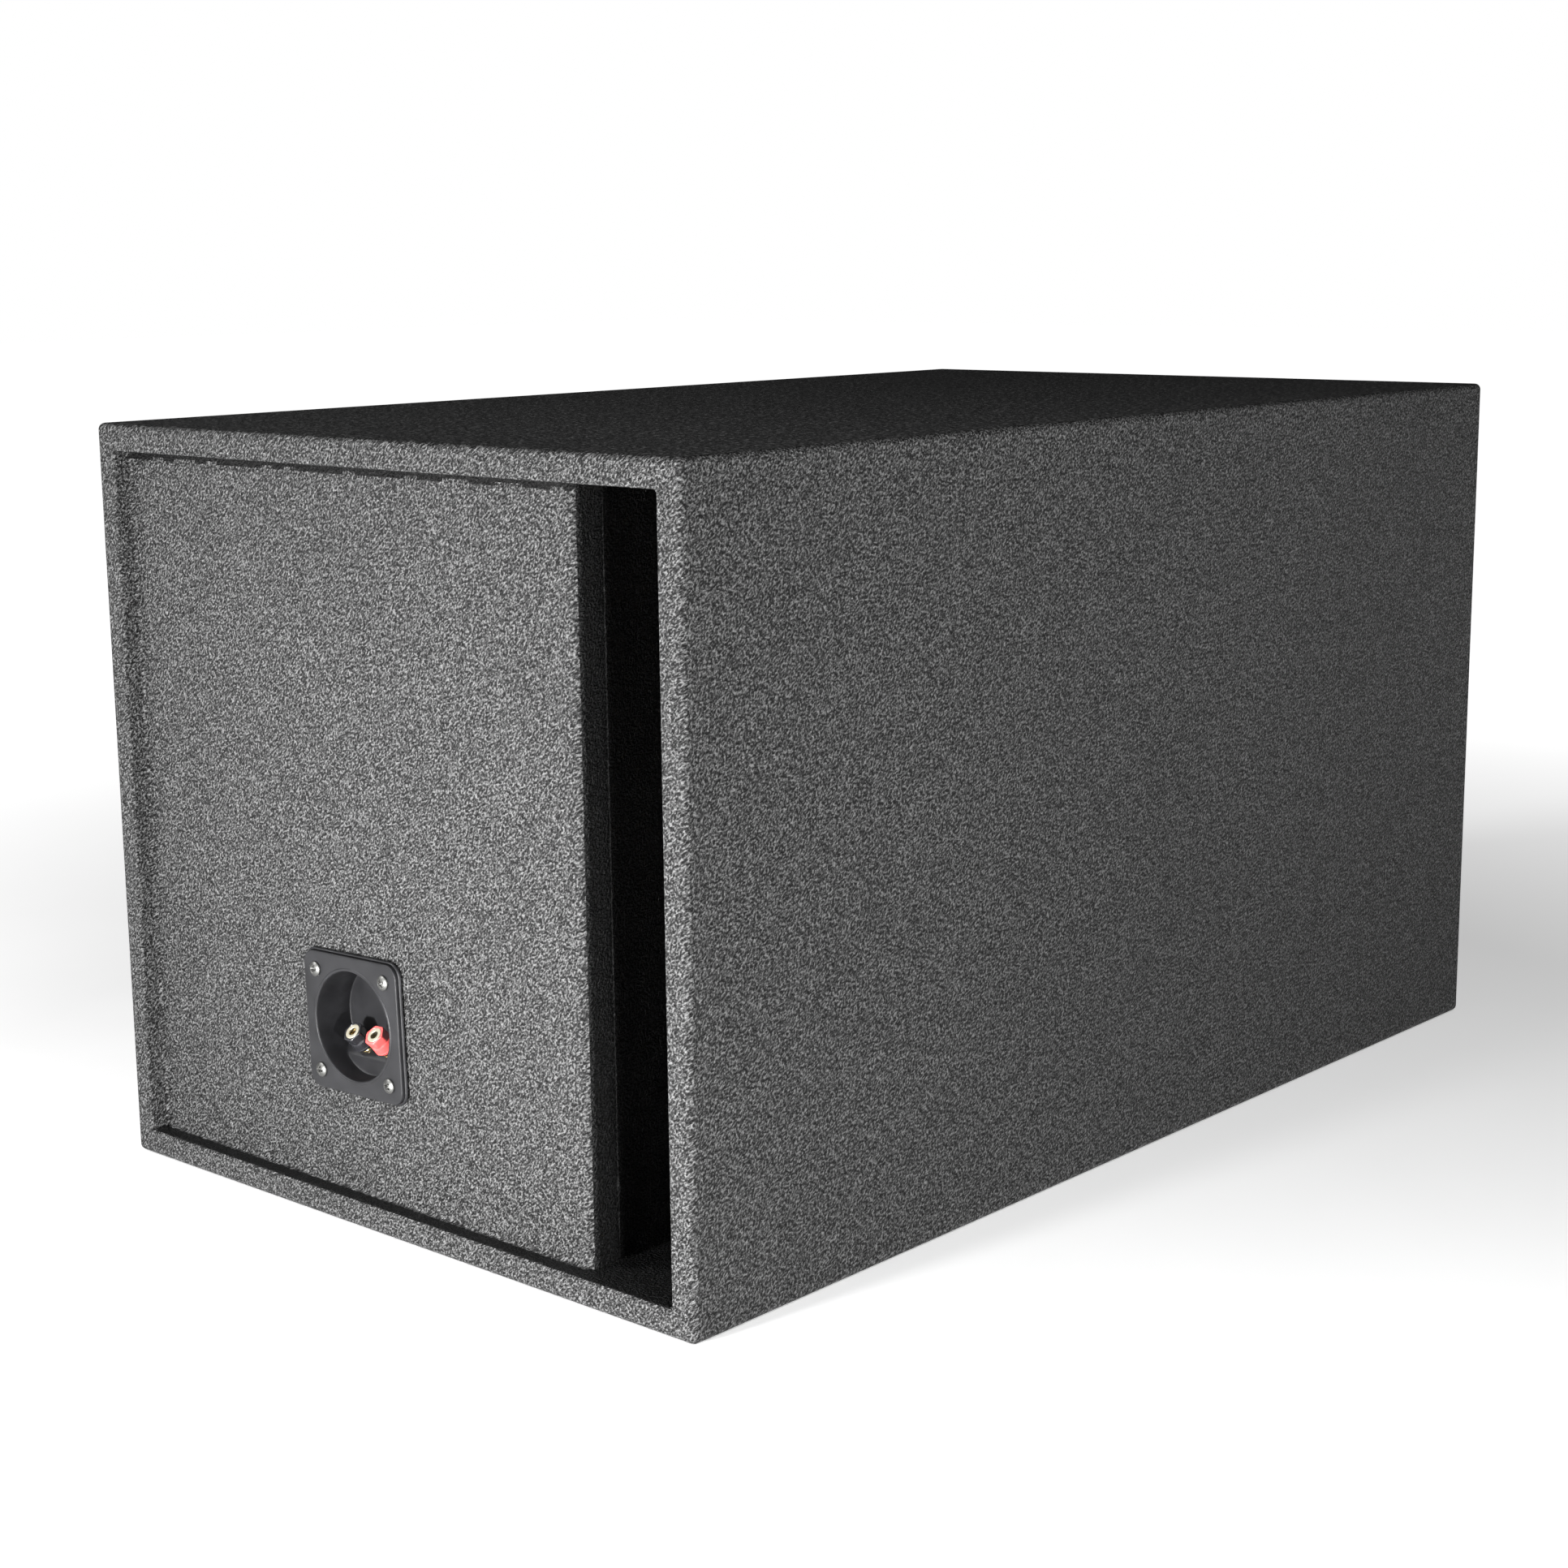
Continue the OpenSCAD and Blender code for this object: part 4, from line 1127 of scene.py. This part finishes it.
def dust_cap():
    """Domed cap with an uneven line of glue round its rim."""
    low = cone_z(DUST_R)
    big_r = (DUST_R ** 2 + DUST_RISE ** 2) / (2 * DUST_RISE)

    def dome(r, radius):
        return r, low + DUST_RISE - big_r + sqrt(radius ** 2 - r * r)
    shape = Shape(DRIVER)
    turned_solid(shape, [dome(r, big_r) for r in np.linspace(0, DUST_R, 26)] +
                 [dome(r, big_r - DUST_T) for r in np.linspace(DUST_R - 0.4, 0, 22)], 96)
    make("dust_cap_dome", shape, "cone_paper", "moving_cone", ["dust_cap"])
    glue = Shape(DRIVER)
    rings = []
    for i, t in enumerate(around(160)):
        out = np.array((cos(t), sin(t), 0))
        size = 1.0 + 0.3 * wobble(i * 0.37, 21)
        rings.append(glue.add([out * (DUST_R + 0.5 + size * cos(a)) +
                               (0, 0, low + 0.3 + size * sin(a)) for a in around(8)]))
    glue.skin(rings, loop=True)
    make("dust_cap_glue", glue, "surround_rubber", "moving_cone")


def motor():
    """Turned plate, ground magnet ring and back plate with a vented pole."""
    lathed("top_plate_turned", rounded([
        (GAP_R, PLATE_BACK, 0.4), (PLATE_EDGE_R, PLATE_BACK, 0.8), (PLATE_EDGE_R, PLATE_FRONT, 0.8),
        (GAP_R, PLATE_FRONT, 0.6)]), "motor_steel", nodes=["top_plate"], count=96)
    lathed("magnet_ring", rounded([
        (MAGNET_IN, MAGNET_BACK, 1.2), (MAGNET_OUT, MAGNET_BACK, 2), (MAGNET_OUT, PLATE_BACK, 2),
        (MAGNET_IN, PLATE_BACK, 1.2)]), "ferrite", nodes=["magnet"])
    lathed("pole_yoke_turned", rounded([
        (VENT_R, POLE_FRONT, 1), (VENT_R, YOKE_BACK + 7, 1), (VENT_R + 7, YOKE_BACK, 1),
        (YOKE_R - 3, YOKE_BACK, 1.2), (YOKE_R, YOKE_BACK + 3, 1.2), (YOKE_R, MAGNET_BACK, 0.4),
        (POLE_R, MAGNET_BACK, 0.8), (POLE_R, POLE_FRONT, 1)]), "motor_steel", nodes=["pole_yoke"], count=96)


def coil():
    """Thin former, and the winding with its wires as small waves."""
    outer = COIL_R + FORMER_T
    lathed("coil_former_tube", rounded([(r, z, 0.05) for r, z in (
        (COIL_R, FORMER_BACK), (outer, FORMER_BACK), (outer, FORMER_FRONT), (COIL_R, FORMER_FRONT))], 1),
           "coil_film", "moving_cone", ["coil_former"], 96)
    pitch = COIL_HEIGHT / COIL_TURNS
    outline = [(outer + 0.02, COIL_BACK)]
    for k in range(COIL_TURNS):
        z = COIL_BACK + k * pitch
        outline += [(WINDING_IN, z + 0.02), (WINDING_OUT, z + pitch * 0.3), (WINDING_OUT, z + pitch * 0.7)]
    outline += [(WINDING_IN, COIL_BACK + COIL_HEIGHT), (outer + 0.02, COIL_BACK + COIL_HEIGHT)]
    lathed("voice_coil_winding", outline, "copper_winding", "moving_cone", ["voice_coil"], 96)


def spider():
    """Corrugated cloth disc between the coil former and the basket's ledge."""
    inner, rolls, steps, thick, rise = COIL_R + FORMER_T, 5, 14, 0.7, 2.0
    first = inner + 3
    pitch = (LEDGE_R - 2 - first) / rolls
    line = [(inner, LEDGE_Z), (inner + 1.5, LEDGE_Z)]
    line += [(first + k * pitch / steps, LEDGE_Z + rise * sin(2 * pi * k / steps))
             for k in range(rolls * steps + 1)]
    line += [(LEDGE_R, LEDGE_Z), (POT_R - 5, LEDGE_Z)]
    outline = [(r, z + thick) for r, z in line] + line[::-1]
    piece = lathed("spider_disc", outline, "spider_cloth", None, ["spider"], 144)
    bend_by_radius(piece)


def trim_ring():
    low = FLANGE_Z + ROLL_T
    lathed("trim_ring_moulded", rounded([(TRIM_IN, low, 0.2), (TRIM_OUT, low, 0.2), (TRIM_OUT, low + 4, 1.0),
                                         (TRIM_IN + 2, low + 4, 0.6), (TRIM_IN, low + 2.6, 0.6)]),
           "trim_rubber", nodes=["trim_ring"], count=160)


def driver_bolts():
    """Black cap screws with a knurled rim, a hexagonal socket and a threaded shank."""
    def socket(t):
        return hexagon(t, 1.732)[0]

    def knurl(t):
        return 4.68 + 0.07 * cos(24 * t)
    head = ((2.4, 0), (4.4, 0), (4.6, 0.15), (knurl, 0.3), (knurl, 2.4), (4.6, 2.6), (4.3, 2.9), (4.0, 3),
            (2.3, 3), (2.15, 2.95), (socket, 2.75), (socket, 1))
    rows = [(1.8, -22)] + thread(2.45, THREAD_DEPTH, 0.8, np.arange(-21.6, 5.6, 0.2))
    rows += [(reach, FLANGE_Z + up) for reach, up in head]
    for number, at in enumerate(BOLT_PLACES, 1):
        shape = Shape(DRIVER)
        rings = shape.stack(rows, 72, at)
        shape.cap(rings[0])
        shape.fan(rings[-1], (*at, FLANGE_Z + 0.5))
        make(f"driver_bolt_{number}", shape, "black_steel", nodes=["driver_bolts"])


def tinsel_leads():
    """Two braided leads from the basket's side to the back of the cone."""
    for name, y in (("lower", -8), ("upper", 8)):
        points = [(112.5, y, -64), (109, y, -61), (100, y, -62.5), (90, y, -65), (82, y, -62.5),
                  (76, y, -56), (LEAD_R, y, cone_z(LEAD_R) - 3.5)]
        shape = Shape(DRIVER)
        tube(shape, smooth_path(points, 12), lambda t: 1.0 + 0.1 * sin(160 * t), 14)
        piece = make(f"tinsel_lead_{name}", shape, "braided_copper", None, nodes=["tinsel_leads"])
        bend_by_radius(piece)


# ---- Wires inside the cabinet, on the CAD route ----

WIRE_R = 1.7


def wires():
    """Red and black wire from the driver's tags down to the floor, through the clips and up to the cup."""
    floor = inside_low + WIRE_R + 0.9
    start_x, end_x = 133.4, end_high[0] - 34.5
    front, middle = shell_low[1], driver_height
    red = [
        (start_x, front + 100, middle), (143, front + 100, 221), (149, -136, 210), (150, -135, 180),
        (150, -134, 120), (150, -132, 60), (152, -127, 30), (160, -112, floor), (168, -80, floor),
        (178, -50, floor), (195, -34, floor), (215, -32, floor), (240, -32, floor), (285, -32, floor),
        (305, -31, 21), (319, -28, 38), (324, -25, 65), (326, -23, 98), (331, -22.3, 119),
        (340, -22.3, 122.6), (end_x, -22.3, 113.2)]
    black = [
        (start_x, front + 86, middle), (143, front + 86, 221), (149, -150, 210), (150, -149, 180),
        (150, -148, 120), (150, -146, 60), (152, -140, 30), (161, -124, floor), (176, -86, floor),
        (187, -57, floor), (201, -42, floor), (218, -40, floor), (240, -40, floor), (285, -40, floor),
        (305, -41, 21), (319, -42, 38), (324, -43, 65), (326, -43.2, 98), (331, -43.3, 118),
        (340, -43.3, 121.8), (end_x, -43.3, 112.5)]
    for tint, route in (("red", red), ("black", black)):
        shape = Shape()
        tube(shape, smooth_path(route, 8), WIRE_R, 16)
        make(f"{tint}_wire_run", shape, f"{tint}_insulation", nodes=[tint + "_wire"])


surround()
cone()
dust_cap()
motor()
coil()
spider()
trim_ring()
driver_bolts()
tinsel_leads()
wires()


# ---- CAD nodes that stay: softened edges and their own finish ----

def soften(node, width):
    """Merges the CAD triangles into flat faces and rounds the edges, without touching the mesh itself."""
    obj = frame["nodes"][node]
    adjust(obj.modifiers.new("weld", "WELD"), merge_threshold=1e-6)
    adjust(obj.modifiers.new("planar", "DECIMATE"), decimate_type="DISSOLVE", angle_limit=radians(1))
    adjust(obj.modifiers.new("soft_edges", "BEVEL"), width=width * MM, segments=3, limit_method="ANGLE",
           angle_limit=radians(35), use_clamp_overlap=True)
    even_shading(obj)


SOFT_EDGES = {
    "batten": 1.0, "brace": 0.8, "gasket": 0.3, "basket": 1.0, "motor_bolts": 0.5, "tags": 0.12, "block": 0.5,
    "connectors": 0.25, "clips": 0.5, "washers": 0.15, "nuts": 0.3, "lugs": 0.12,
}


def dress_cad_nodes():
    finishes = {p["node"]: p["material_slot"] for p in frame["record"]["subparts"]}
    for node, obj in frame["nodes"].items():
        if obj.hide_render:
            continue
        obj.data.materials.clear()
        obj.data.materials.append(MATERIALS[finishes[node]])
        soften(node, next(width for word, width in SOFT_EDGES.items() if word in node))


dress_cad_nodes()
